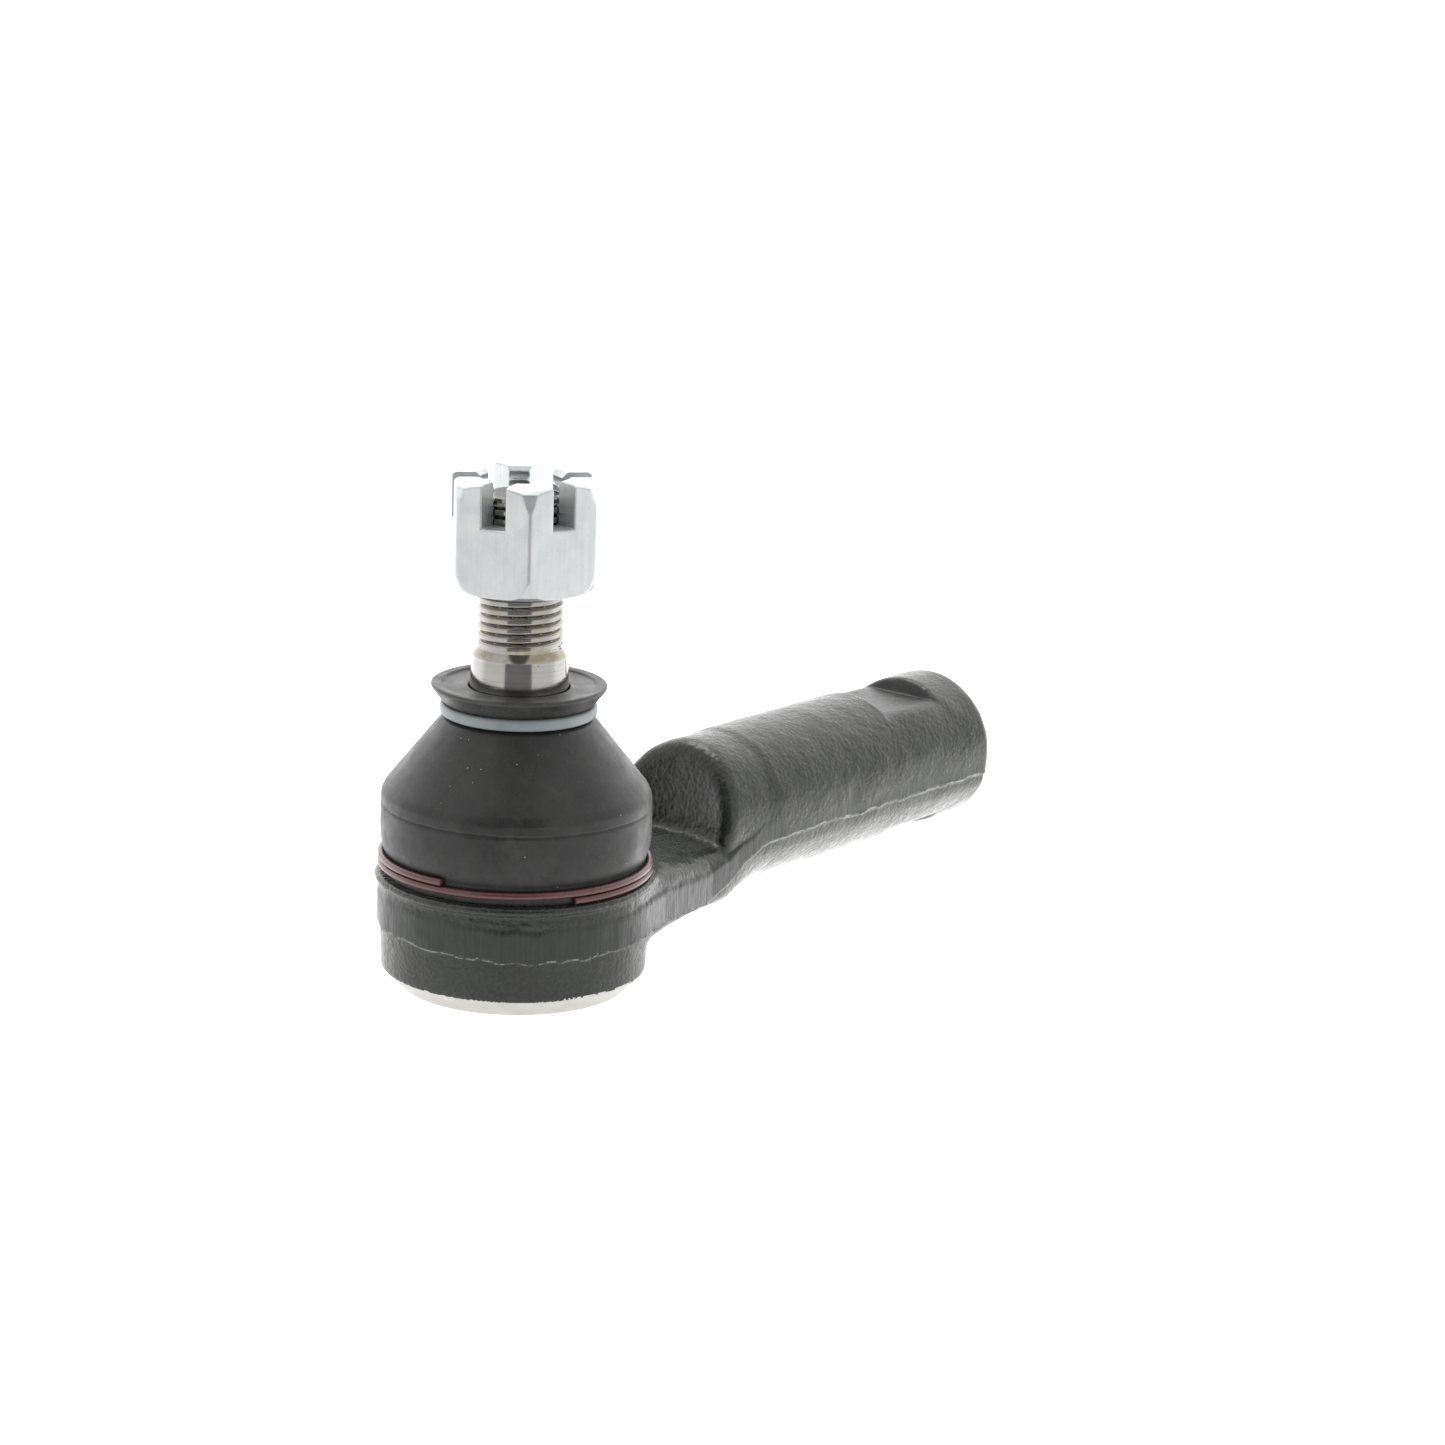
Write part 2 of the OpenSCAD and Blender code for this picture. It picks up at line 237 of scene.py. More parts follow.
def surface_net(field, low, high, step):
    """Quads of the field's zero surface inside a box, with each corner put on the surface."""
    axes = []
    for a, b in zip(low, high):
        blocks = math.ceil((b - a) / step / BLOCK)
        axes.append(a + step * np.arange(blocks * BLOCK + 1))
    value = values_near_surface(field, axes, step)
    inside = value < 0
    count = np.zeros([n - 1 for n in value.shape], np.int8)
    for corner in CORNERS:
        count += at_corner(inside, corner)
    active = (count > 0) & (count < 8)
    ids = np.full(active.shape, -1)
    ids[active] = np.arange(active.sum())
    cells = np.argwhere(active)
    total = np.zeros((len(cells), 3))
    hits = np.zeros(len(cells))
    at = [value[tuple((cells + corner).T)] for corner in CORNERS]
    for a in range(8):
        for bit in (1, 2, 4):
            b = a | bit
            if b == a:
                continue
            cut = (at[a] < 0) != (at[b] < 0)
            gap = np.where(cut, at[a] - at[b], 1)
            t = np.where(cut, at[a] / gap, 0)[:, None]
            place = np.array(CORNERS[a]) * (1 - t) + np.array(CORNERS[b]) * t
            total += place * cut[:, None]
            hits += cut
    points = np.array(low) + (cells + total / hits[:, None]) * step
    quads = []
    for axis in range(3):
        one, two = [a for a in range(3) if a != axis]
        trim = [slice(1, -1)] * 3
        trim[axis] = slice(None, -1)
        after = list(trim)
        after[axis] = slice(1, None)
        here = inside[tuple(trim)]
        edge = np.argwhere(here != inside[tuple(after)])
        solid = here[tuple(edge.T)]
        edge = edge + [0 if a == axis else 1 for a in range(3)]
        ring = []
        for back_one, back_two in ((1, 1), (0, 1), (0, 0), (1, 0)):
            cell = edge.copy()
            cell[:, one] -= back_one
            cell[:, two] -= back_two
            ring.append(ids[tuple(cell.T)])
        quad = np.stack(ring, 1)
        turn = solid if axis != 1 else ~solid
        quad[~turn] = quad[~turn][:, ::-1]
        quads.append(quad)
    for _ in range(NEWTON_STEPS):
        points = toward_surface(field, points)
    return points, np.concatenate(quads)


def toward_surface(field, points, reach=0.02):
    """One Newton step of points onto the field's zero surface."""
    x, y, z = points.T
    value = field(x, y, z)
    slope = np.stack([
        (field(x + reach, y, z) - value) / reach,
        (field(x, y + reach, z) - value) / reach,
        (field(x, y, z + reach) - value) / reach], 1)
    scale = value / np.maximum((slope ** 2).sum(1), 0.05)
    return points - np.clip(scale, -0.3, 0.3)[:, None] * slope


# ---------------- meshes

def mesh_piece(name, points, faces):
    """A smooth Blender object from points in millimetres and four-sided faces."""
    mesh = bpy.data.meshes.new(name)
    mesh.from_pydata((np.asarray(points) * MM).tolist(), [], np.asarray(faces).tolist())
    mesh.validate()
    mesh.shade_smooth()
    piece = bpy.data.objects.new(name, mesh)
    bpy.context.scene.collection.objects.link(piece)
    return piece


def rounded(points, radius, steps=4):
    """A closed outline with its corners rounded. radius is one value, or one for each point."""
    count = len(points)
    radii = radius if isinstance(radius, (list, tuple)) else [radius] * count
    out = []
    for i, here in enumerate(points):
        p = np.array(here, float)
        back = np.array(points[i - 1], float) - p
        ahead = np.array(points[(i + 1) % count], float) - p
        lb, la = np.linalg.norm(back), np.linalg.norm(ahead)
        cut = min(radii[i], 0.45 * lb, 0.45 * la)
        if cut <= 0:
            out.append(tuple(p))
            continue
        a, b = p + back / lb * cut, p + ahead / la * cut
        for s in range(steps + 1):
            t = s / steps
            out.append(tuple((1 - t) ** 2 * a + 2 * t * (1 - t) * p + t * t * b))
    return out


def softened(corners):
    """A closed outline from corners of (radius, height, rounding)."""
    return rounded([corner[:2] for corner in corners], [corner[2] for corner in corners])


def divided(points, longest):
    """The closed outline with its long stretches divided."""
    out = []
    for a, b in zip(points, points[1:] + points[:1]):
        a, b = np.array(a, float), np.array(b, float)
        parts = max(1, math.ceil(np.linalg.norm(b - a) / longest))
        out += [tuple(a + (b - a) * i / parts) for i in range(parts)]
    return out


def turned(name, outline, around=160, radius_at=None, sharp=50):
    """Closed solid of revolution about Z from a closed outline of (radius, height).

    radius_at(r, z, angle) may change each radius.
    """
    r = np.array([p[0] for p in outline])[:, None]
    z = np.array([p[1] for p in outline])[:, None]
    angle = (np.arange(around) * 2 * math.pi / around)[None, :]
    radius = np.maximum(r + 0 * angle, 0)
    if radius_at is not None:
        radius = radius_at(radius, z + 0 * angle, angle + 0 * r)
    points = np.stack([radius * np.cos(angle), radius * np.sin(angle), z + 0 * angle], 2)
    rows = len(outline)
    i, j = np.meshgrid(np.arange(rows), np.arange(around), indexing="ij")
    i2, j2 = (i + 1) % rows, (j + 1) % around
    faces = np.stack([i * around + j, i * around + j2, i2 * around + j2, i2 * around + j], 2)
    piece = mesh_piece(name, points.reshape(-1, 3), faces.reshape(-1, 4))
    return tidied(piece, sharp)


def tidied(piece, sharp=50):
    """Merges points on the axis, makes every face look outward and marks the sharp edges."""
    work = bmesh.new()
    work.from_mesh(piece.data)
    bmesh.ops.remove_doubles(work, verts=work.verts, dist=1e-7)
    bmesh.ops.dissolve_degenerate(work, edges=work.edges, dist=1e-8)
    bmesh.ops.recalc_face_normals(work, faces=work.faces)
    work.to_mesh(piece.data)
    work.free()
    piece.data.shade_smooth()
    piece.data.set_sharp_from_angle(angle=math.radians(sharp))
    return piece


def swept_wire(name, centre, radius, steps, sides=20):
    """Round wire along centre(t), t from 0 to 1, with slightly rounded flat ends."""
    ts = np.linspace(0, 1, steps)
    path = np.array([centre(t) for t in ts])
    ahead = np.gradient(path, axis=0)
    ahead /= np.linalg.norm(ahead, axis=1)[:, None]
    side = np.cross(ahead, [0, 0, 1])
    side /= np.linalg.norm(side, axis=1)[:, None]
    up = np.cross(side, ahead)
    ring = np.arange(sides) * 2 * math.pi / sides
    rows = []
    for at, scale, move in ((0, 0.0, 0.0), (0, 0.8, 0.0), (0, 1.0, 0.15)):
        rows.append((path[at] + ahead[at] * move * radius, side[at], up[at], scale))
    for at in range(1, steps - 1):
        rows.append((path[at], side[at], up[at], 1.0))
    for at, scale, move in ((-1, 1.0, -0.15), (-1, 0.8, 0.0), (-1, 0.0, 0.0)):
        rows.append((path[at] + ahead[at] * move * radius, side[at], up[at], scale))
    points = np.concatenate([
        c + radius * k * (np.cos(ring)[:, None] * s + np.sin(ring)[:, None] * u)
        for c, s, u, k in rows])
    i, j = np.meshgrid(np.arange(len(rows) - 1), np.arange(sides), indexing="ij")
    j2 = (j + 1) % sides
    faces = np.stack([i * sides + j, i * sides + j2, (i + 1) * sides + j2, (i + 1) * sides + j], 2)
    return tidied(mesh_piece(name, points, faces.reshape(-1, 4)))


def cut_with(piece, tool):
    """Takes tool out of piece."""
    change = piece.modifiers.new("cut", "BOOLEAN")
    change.object = tool
    change.operation = "DIFFERENCE"
    change.solver = "EXACT"
    bpy.context.view_layer.update()
    graph = bpy.context.evaluated_depsgraph_get()
    mesh = bpy.data.meshes.new_from_object(piece.evaluated_get(graph))
    piece.modifiers.clear()
    piece.data = mesh
    bpy.data.objects.remove(tool)
    return piece


def thread_wave(phase):
    """Height of a screw thread from 0 at the root to 1 at the crest, at a phase in turns."""
    saw = np.abs((phase % 1.0) * 2 - 1)
    flank = np.clip((saw - 0.04) / 0.62, 0, 1)
    return flank * (2 - flank)


# ---------------- materials

class Material:
    """A principled material and the nodes that feed it."""

    def __init__(self, name, rough, metal=0.0, colour=(0.5, 0.5, 0.5)):
        self.made = bpy.data.materials.new(name)
        self.made.use_nodes = True
        self.made.diffuse_color = (*colour, 1)
        self.nodes = self.made.node_tree.nodes
        self.links = self.made.node_tree.links
        self.shader = self.nodes["Principled BSDF"]
        self.shader.inputs["Roughness"].default_value = rough
        self.shader.inputs["Metallic"].default_value = metal
        self.shader.inputs["Base Color"].default_value = (*colour, 1)
        self.place = self.nodes.new("ShaderNodeTexCoord").outputs["Object"]
        self.normal = None

    def stretched(self, scale):
        """The object's coordinates, scaled along each axis."""
        node = self.nodes.new("ShaderNodeMapping")
        node.inputs["Scale"].default_value = scale
        self.links.new(self.place, node.inputs["Vector"])
        return node.outputs["Vector"]

    def noise(self, size_mm, detail=4.0, rough=0.55, bend=0.0, where=None):
        """Noise whose blobs are about size_mm across."""
        node = self.nodes.new("ShaderNodeTexNoise")
        node.inputs["Scale"].default_value = 1 / (size_mm * MM)
        node.inputs["Detail"].default_value = detail
        node.inputs["Roughness"].default_value = rough
        node.inputs["Distortion"].default_value = bend
        self.links.new(where or self.place, node.inputs["Vector"])
        return node.outputs["Fac"]

    def cells(self, size_mm, feature="F1"):
        """Distance to the middle of random cells about size_mm across."""
        node = self.nodes.new("ShaderNodeTexVoronoi")
        node.feature = feature
        node.inputs["Scale"].default_value = 1 / (size_mm * MM)
        self.links.new(self.place, node.inputs["Vector"])
        return node.outputs["Distance"]

    def ramp(self, value, *stops):
        """Colour or grey along value; a stop is (position, grey) or (position, colour)."""
        node = self.nodes.new("ShaderNodeValToRGB")
        line = node.color_ramp.elements
        while len(line) < len(stops):
            line.new(0.5)
        for element, (at, colour) in zip(line, stops):
            element.position = at
            element.color = (*((colour,) * 3 if isinstance(colour, (int, float)) else colour), 1)
        self.links.new(value, node.inputs["Fac"])
        return node.outputs["Color"]

    def mix(self, share, one, two, kind="MIX"):
        """Two colours mixed; share is how much of two."""
        node = self.nodes.new("ShaderNodeMix")
        node.data_type = "RGBA"
        node.blend_type = kind
        for socket, value in ((node.inputs[0], share), (node.inputs[6], one), (node.inputs[7], two)):
            if isinstance(value, bpy.types.NodeSocket):
                self.links.new(value, socket)
            elif isinstance(value, (int, float)):
                socket.default_value = value
            else:
                socket.default_value = (*value, 1)
        return node.outputs[2]

    def maths(self, kind, one, two=0.0):
        """One sum on two numbers or sockets."""
        node = self.nodes.new("ShaderNodeMath")
        node.operation = kind
        for socket, value in zip(node.inputs, (one, two)):
            if isinstance(value, bpy.types.NodeSocket):
                self.links.new(value, socket)
            else:
                socket.default_value = value
        return node.outputs[0]

    def step(self, value, low, high, before, after):
        """A smooth step from one number to another as value passes from low to high."""
        node = self.nodes.new("ShaderNodeMapRange")
        node.interpolation_type = "SMOOTHSTEP"
        for socket, number in zip(list(node.inputs)[1:5], (low, high, before, after)):
            socket.default_value = number
        self.links.new(value, node.inputs["Value"])
        return node.outputs["Result"]

    def split(self):
        """The object's coordinates as separate X, Y and Z."""
        node = self.nodes.new("ShaderNodeSeparateXYZ")
        self.links.new(self.place, node.inputs[0])
        return node.outputs

    def radius(self, whole_mm):
        """Distance from the Z axis as a part of whole_mm."""
        node = self.nodes.new("ShaderNodeVectorMath")
        node.operation = "LENGTH"
        self.links.new(self.stretched((1, 1, 0)), node.inputs[0])
        return self.maths("DIVIDE", node.outputs["Value"], whole_mm * MM)

    def bump(self, height, deep_mm):
        """Adds a bump deep_mm high on top of the ones already there."""
        node = self.nodes.new("ShaderNodeBump")
        node.inputs["Distance"].default_value = deep_mm * MM
        node.inputs["Strength"].default_value = 1.0
        self.links.new(height, node.inputs["Height"])
        if self.normal is not None:
            self.links.new(self.normal, node.inputs["Normal"])
        self.normal = node.outputs["Normal"]
        self.links.new(self.normal, self.shader.inputs["Normal"])

    def feed(self, socket, value):
        """Links a node's output to a socket of the shader."""
        self.links.new(value, self.shader.inputs[socket])

    def set(self, socket, value):
        """Sets a socket of the shader to one value."""
        self.shader.inputs[socket].default_value = value


def forged_material():
    """Rough die-forged steel under a dark grey-green phosphate coat."""
    m = Material("forged_phosphate", 0.4, 0.0, (0.03, 0.033, 0.03))
    tone = m.ramp(m.noise(9, 5), (0.3, (0.014, 0.016, 0.013)), (0.7, (0.025, 0.028, 0.023)))
    grain = m.ramp(m.noise(0.5, 3), (0.35, 0.6), (0.68, 1.4))
    colour = m.mix(1.0, tone, grain, "MULTIPLY")
    dust = m.ramp(m.noise(1.2, 6, 0.7), (0.66, 0.0), (0.78, 1.0))
    colour = m.mix(m.maths("MULTIPLY", dust, 0.2), colour, (0.14, 0.15, 0.13))
    m.feed("Base Color", colour)
    m.feed("Roughness", m.ramp(m.noise(0.9, 4), (0.3, 0.2), (0.7, 0.36)))
    m.set("Specular IOR Level", 0.42)
    m.set("Sheen Weight", 0.16)
    m.set("Sheen Roughness", 0.3)
    m.bump(m.noise(2.4, 2), 0.05)
    m.bump(m.cells(0.62, "SMOOTH_F1"), -0.07)
    m.bump(m.noise(0.42, 3, 0.6), 0.03)
    return m


def trimmed_material():
    """The sheared parting band: the same coat over fine marks along Z."""
    m = Material("trimmed_band", 0.5, 0.0, (0.06, 0.065, 0.06))
    streaks = m.noise(0.5, 3, where=m.stretched((1, 1, 0.06)))
    tone = m.ramp(streaks, (0.3, (0.016, 0.018, 0.016)), (0.7, (0.030, 0.033, 0.029)))
    m.feed("Base Color", tone)
    m.feed("Roughness", m.ramp(streaks, (0.3, 0.28), (0.7, 0.42)))
    m.set("Specular IOR Level", 0.36)
    m.set("Sheen Weight", 0.16)
    m.set("Sheen Roughness", 0.3)
    m.bump(streaks, 0.06)
    m.bump(m.noise(0.9, 3), 0.05)
    return m


def burr_material():
    """The bare, pale lip left along the parting line."""
    m = Material("parting_burr", 0.5, 0.0, (0.36, 0.38, 0.36))
    tone = m.ramp(m.noise(1.0, 5, 0.7), (0.4, (0.08, 0.085, 0.08)), (0.62, (0.20, 0.21, 0.19)))
    m.feed("Base Color", tone)
    m.bump(m.noise(0.5, 3), 0.08)
    return m


def machined_material():
    """The turned rim: bright, slightly yellow bare steel with turning marks."""
    m = Material("turned_rim", 0.4, 0.8, (0.5, 0.49, 0.46))
    rings = m.noise(0.16, 2, where=m.stretched((0.02, 0.02, 1)))
    tone = m.ramp(m.noise(3, 4), (0.35, (0.47, 0.455, 0.43)), (0.65, (0.54, 0.53, 0.50)))
    m.feed("Base Color", tone)
    m.feed("Roughness", m.ramp(m.noise(1.5, 4), (0.3, 0.34), (0.7, 0.5)))
    m.bump(rings, 0.006)
    return m


def ground_material():
    """The stud: satin ground steel with marks around the axis, oil stains near the thread, and painted
    shade darkening the thread's roots.
    """
    m = Material("ground_stud", 0.18, 1.0, (0.42, 0.41, 0.39))
    height = m.split()["Z"]
    around = m.noise(0.3, 3, where=m.stretched((0.03, 0.03, 1)))
    level = m.maths("DIVIDE", height, STUD_TOP * MM)
    low, high = TAPER_TOP / STUD_TOP, (TAPER_TOP + 1.6) / STUD_TOP
    undercut = m.ramp(level, (low - 0.002, 0.0), (low + 0.006, 1.0), (high, 0.6), (high + 0.1, 0.25))
    stain = m.maths("MULTIPLY", undercut, m.ramp(m.noise(2.2, 5, 0.65), (0.42, 0.0), (0.6, 1.0)))
    clean = m.mix(1.0, (0.31, 0.30, 0.288), m.ramp(around, (0.3, 0.9), (0.7, 1.06)), "MULTIPLY")
    tone = m.mix(stain, clean, (0.24, 0.205, 0.12))
    # painted shade: the thread's roots, where the radius is smallest, are darkened to three quarters of
    # their colour
    root = m.ramp(m.radius(THREAD_R), (0.91, 0.75), (0.96, 1.0))
    threaded = m.ramp(level, (high - 0.01, 0.0), (high, 1.0))
    tone = m.mix(threaded, tone, m.mix(1.0, tone, root, "MULTIPLY"))
    specks = m.ramp(m.cells(2.0), (0.03, 0.3), (0.06, 1.0))
    m.feed("Base Color", m.mix(1.0, tone, specks, "MULTIPLY"))
    m.feed("Roughness", m.ramp(m.noise(1.2, 4), (0.3, 0.09), (0.7, 0.17)))
    m.bump(around, 0.0035)
    return m


def zinc_material():
    """The nut: bright bluish zinc with faint drawn lines along the stud."""
    m = Material("zinc_nut", 0.3, 0.6, (0.5, 0.53, 0.54))
    lines = m.noise(0.5, 4, where=m.stretched((1, 1, 0.05)))
    tone = m.ramp(m.noise(4, 4), (0.35, (0.49, 0.515, 0.53)), (0.65, (0.56, 0.58, 0.57)))
    tone = m.mix(1.0, tone, m.ramp(lines, (0.3, 0.93), (0.7, 1.04)), "MULTIPLY")
    specks = m.ramp(m.cells(3.4), (0.03, 0.8), (0.06, 1.0))
    m.feed("Base Color", m.mix(1.0, tone, specks, "MULTIPLY"))
    m.feed("Roughness", m.ramp(m.noise(1.2, 5), (0.3, 0.26), (0.7, 0.38)))
    m.bump(lines, 0.006)
    m.bump(m.noise(2.5, 2), 0.01)
    return m


def rubber_material():
    """Moulded rubber: matte, dark grey, with a few specks of dust and mould marks, and a painted
    highlight that makes the lip above the ring twice as light.
    """
    m = Material("moulded_rubber", 0.55, 0.0, (0.035, 0.036, 0.037))
    tone = m.ramp(m.noise(7, 4), (0.25, (0.010, 0.011, 0.010)), (0.75, (0.024, 0.025, 0.023)))
    specks = m.ramp(m.cells(2.4), (0.028, 1.0), (0.05, 0.0))
    haze = m.ramp(m.noise(2.2, 6, 0.75), (0.5, 0.0), (0.75, 0.45))
    colour = m.mix(haze, tone, (0.045, 0.045, 0.042))
    smudge = m.ramp(m.noise(5, 5, 0.7, 1.5), (0.32, 0.55), (0.45, 1.0))
    colour = m.mix(1.0, colour, smudge, "MULTIPLY")
    height = m.split()["Z"]
    # painted highlight: everything above the ring's top, the lip, is made twice as light as the rest of
    # the boot
    lip = m.step(height, RING_Z1 * MM, (RING_Z1 + 1) * MM, 1.0, 2.0)
    colour = m.mix(1.0, colour, lip, "MULTIPLY")
    m.feed("Base Color", m.mix(m.maths("MULTIPLY", specks, 0.7), colour, (0.32, 0.32, 0.30)))
    m.feed("Roughness", m.ramp(m.noise(2.5, 5), (0.3, 0.32), (0.7, 0.5)))
    m.set("Specular IOR Level", 0.38)
    m.set("Sheen Weight", 0.06)
    m.set("Sheen Roughness", 0.3)
    m.bump(m.noise(0.35, 3), 0.018)
    m.bump(m.noise(4, 2), 0.04)
    return m


def ring_material():
    """The upper ring: smooth blue-grey plastic."""
    m = Material("ring_plastic", 0.4, 0.0, (0.42, 0.47, 0.51))
    tone = m.ramp(m.noise(3, 4), (0.3, (0.20, 0.225, 0.24)), (0.7, (0.26, 0.285, 0.30)))
    m.feed("Base Color", tone)
    m.feed("Roughness", m.ramp(m.noise(0.8, 4), (0.3, 0.34), (0.7, 0.5)))
    m.bump(m.noise(0.4, 3), 0.01)
    return m


def wire_material():
    """The clip: spring wire under red-brown lacquer."""
    m = Material("lacquered_wire", 0.32, 0.0, (0.16, 0.045, 0.04))
    tone = m.ramp(m.noise(1.6, 5, 0.7), (0.3, (0.06, 0.015, 0.014)), (0.7, (0.11, 0.030, 0.027)))
    m.feed("Base Color", tone)
    m.feed("Roughness", m.ramp(m.noise(0.7, 4), (0.3, 0.26), (0.7, 0.44)))
    m.set("Coat Weight", 0.3)
    m.set("Coat Roughness", 0.2)
    m.bump(m.noise(0.5, 3), 0.012)
    return m


def steel_material(name, light, dark, rough=0.38):
    """Plain steel of the pressed and sprung pieces."""
    m = Material(name, rough, 0.9, light)
    m.feed("Base Color", m.ramp(m.noise(3, 5), (0.3, dark), (0.7, light)))
    m.feed("Roughness", m.ramp(m.noise(0.9, 4), (0.3, rough - 0.08), (0.7, rough + 0.12)))
    m.bump(m.noise(0.6, 3), 0.02)
    return m


def acetal_material():
    """The seats: milky plastic, slightly greasy."""
    m = Material("natural_acetal", 0.35, 0.0, (0.78, 0.76, 0.68))
    m.feed("Base Color", m.ramp(m.noise(3, 4), (0.3, (0.70, 0.67, 0.56)), (0.7, (0.82, 0.80, 0.73))))
    m.feed("Roughness", m.ramp(m.noise(1.0, 4), (0.3, 0.25), (0.7, 0.45)))
    m.bump(m.noise(0.5, 3), 0.01)
    return m


FORGED = forged_material()
TRIMMED = trimmed_material()
BURR = burr_material()
MACHINED = machined_material()
GROUND = ground_material()
ZINC = zinc_material()
RUBBER = rubber_material()
RING = ring_material()
WIRE = wire_material()
CAP = steel_material("pressed_cap", (0.55, 0.54, 0.5), (0.42, 0.41, 0.38))
SPRING = steel_material("tempered_spring", (0.22, 0.23, 0.26), (0.14, 0.15, 0.18), 0.42)
ACETAL = acetal_material()


def dress(piece, body, slot, *materials, replaces=()):
    """Gives a piece its materials and its body, and hides the CAD nodes that it stands for. slot is not
    used.
    """
    for material in materials:
        piece.data.materials.append(material.made)
    if body is not None:
        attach(piece, body)
    if replaces:
        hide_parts(*replaces)
    return piece


# ---------------- housing

SADDLE_DROP = 1.8
WALL_FOOT_R = 34.7
FORGING_OUTLINE = [
    (-1, BASE_Z - 2),
    (BARREL_R - 0.15, BASE_Z - 2),
    (BARREL_R - 0.1, BASE_Z + 2.7),
    (BARREL_R + 0.05, BASE_Z + 8),
    (BARREL_R + 0.42, SHOULDER_Z - 2.6),
    (BARREL_R + 0.3, SHOULDER_Z - 1.4),
    (EDGE_R, SHOULDER_Z - 0.75),
    (EDGE_R, SHOULDER_Z - 0.35),
    (EDGE_R - 0.45, SHOULDER_Z + 0.05),
    (-1, SHOULDER_Z)]
COLLAR_OUTLINE = [
    (-1, SHOULDER_Z - 1),
    (GROOVE_R, SHOULDER_Z - 1),
    (GROOVE_R, COLLAR_TOP - 1.4),
    (COLLAR_R, COLLAR_TOP - 1.1),
    (COLLAR_R, COLLAR_TOP - 0.4),
    (COLLAR_R - 0.4, COLLAR_TOP),
    (-1, COLLAR_TOP)]
MOUTH_R = 0.94 * BALL_R
CAVITY_ARC = [(CAVITY_R * math.cos(a), CAVITY_R * math.sin(a))
              for a in np.linspace(0, math.asin(0.5 * BALL_R / CAVITY_R), 9)]
CAVITY_OUTLINE = [
    (-1, BASE_Z - 2),
    (CAP_R - 1.6, BASE_Z - 2),
    (CAP_R - 1.6, CAP_TOP - CAP_T),
    (CAP_R + 0.05, CAP_TOP - CAP_T),
    (CAP_R + 0.05, CAP_TOP),
    (CAVITY_R, CAP_TOP)] + CAVITY_ARC + [
    (MOUTH_R, 0.5 * BALL_R),
    (MOUTH_R + 1, COLLAR_TOP),
    (MOUTH_R + 1, COLLAR_TOP + 2),
    (-1, COLLAR_TOP + 2)]
WEB_OUTLINE = [
    (0, -2),
    (0, BARREL_R - 0.9),
    (7.5, 16.7),
    (13.8, 15.45),
    (20.5, 13.75),
    (29.5, 11.75),
    (36, SHANK_R + 0.05),
    (REACH + 9, SHANK_R + 0.05),
    (REACH + 9, -2)]
WEB_THICK = 10.1
WEB_LOW = SHOULDER_Z + 0.2 - WEB_THICK
FADE_START, FADE_END = 33.0, 47.0
SHANK_START = 24
SHANK_END_R = 2.2
BAND_LOW_Z = -4.7
FORGED_FACE, TRIMMED_FACE, BURR_FACE, MACHINED_FACE = range(4)


def parting_height(x, y):
    """Height of the lower edge of the trimmed band: low on the barrel, near the axis on the shank."""
    level = BAND_LOW_Z - 0.7 * np.exp(-((x - 27) / 6) ** 2)
    level = level + (SHANK_Z - 3.0 - BAND_LOW_Z) * smoothstep(28, 47, x)
    wander = 0.42 * lumps(x, y, 0 * x + 3.3, 6.5) + 0.2 * lumps(x, y, 0 * x + 8.1, 2.0)
    wander = wander + 0.13 * lumps(x, y, 0 * x + 1.7, 0.8)
    return level + wander + 0.8 * smoothstep(2, 22, y - x)


def saddle_height(r):
    """Height of the forging's top: the shoulder, and lower across the saddle beside the barrel."""
    return SHOULDER_Z - SADDLE_DROP * smoothstep(EDGE_R - 2, WALL_FOOT_R - 2, r)


def shank_field(x, y, z):
    """The round shank, with a rounded end."""
    around = np.sqrt(y * y + (z - SHANK_Z) ** 2)
    return round_max(around - SHANK_R, np.maximum(x - REACH, SHANK_START - x), SHANK_END_R)


def scallop_field(r, z):
    """The space above the saddle and inside its round wall."""
    wall = (r - WALL_FOOT_R - 0.19 * (z - SHOULDER_Z + SADDLE_DROP)) * 0.98
    return smooth_max(wall, saddle_height(r) - z, 1.6)


def web_field(x, y, z, r):
    """The web: a flat arm with rounded edges that turns into the round shank."""
    side = outline_distance(WEB_OUTLINE, x, np.abs(y)) + 0.3
    low = WEB_LOW - 0.35 * smoothstep(18, 36, x)
    web = round_max(side, np.maximum(z - saddle_height(r), low - z), 2.8)
    morph = smoothstep(FADE_START, FADE_END, x)
    return web * (1 - morph) + (shank_field(x, y, z) + 0.02) * morph


def band_field(x, y, z, r):
    """The trimmed parting band around the whole forging."""
    side = outline_distance(WEB_OUTLINE, x, np.abs(y))
    end = round_max(side, x - REACH + 0.12, 2.0)
    plan = smooth_min(end, r - BARREL_R - 0.55, 2.5)
    low = parting_height(x, y)
    height = 4.9 - 1.6 * smoothstep(25, 40, x)
    return smooth_max(np.maximum(plan, low - z), z - low - height, 1.0 - 0.7 * smoothstep(25, 40, x))


def flats_field(x, z):
    """The space of the two wrench flats."""
    half = FLAT_LENGTH / 2
    middle = REACH - FLAT_SETBACK - half
    height = np.abs(z - SHANK_Z)
    far_wall = x - middle - half + 0.35 * (SHANK_R - height - FLAT_DEPTH)
    near_wall = middle - half - x
    return np.maximum(np.maximum(far_wall, near_wall), SHANK_R - FLAT_DEPTH - height)


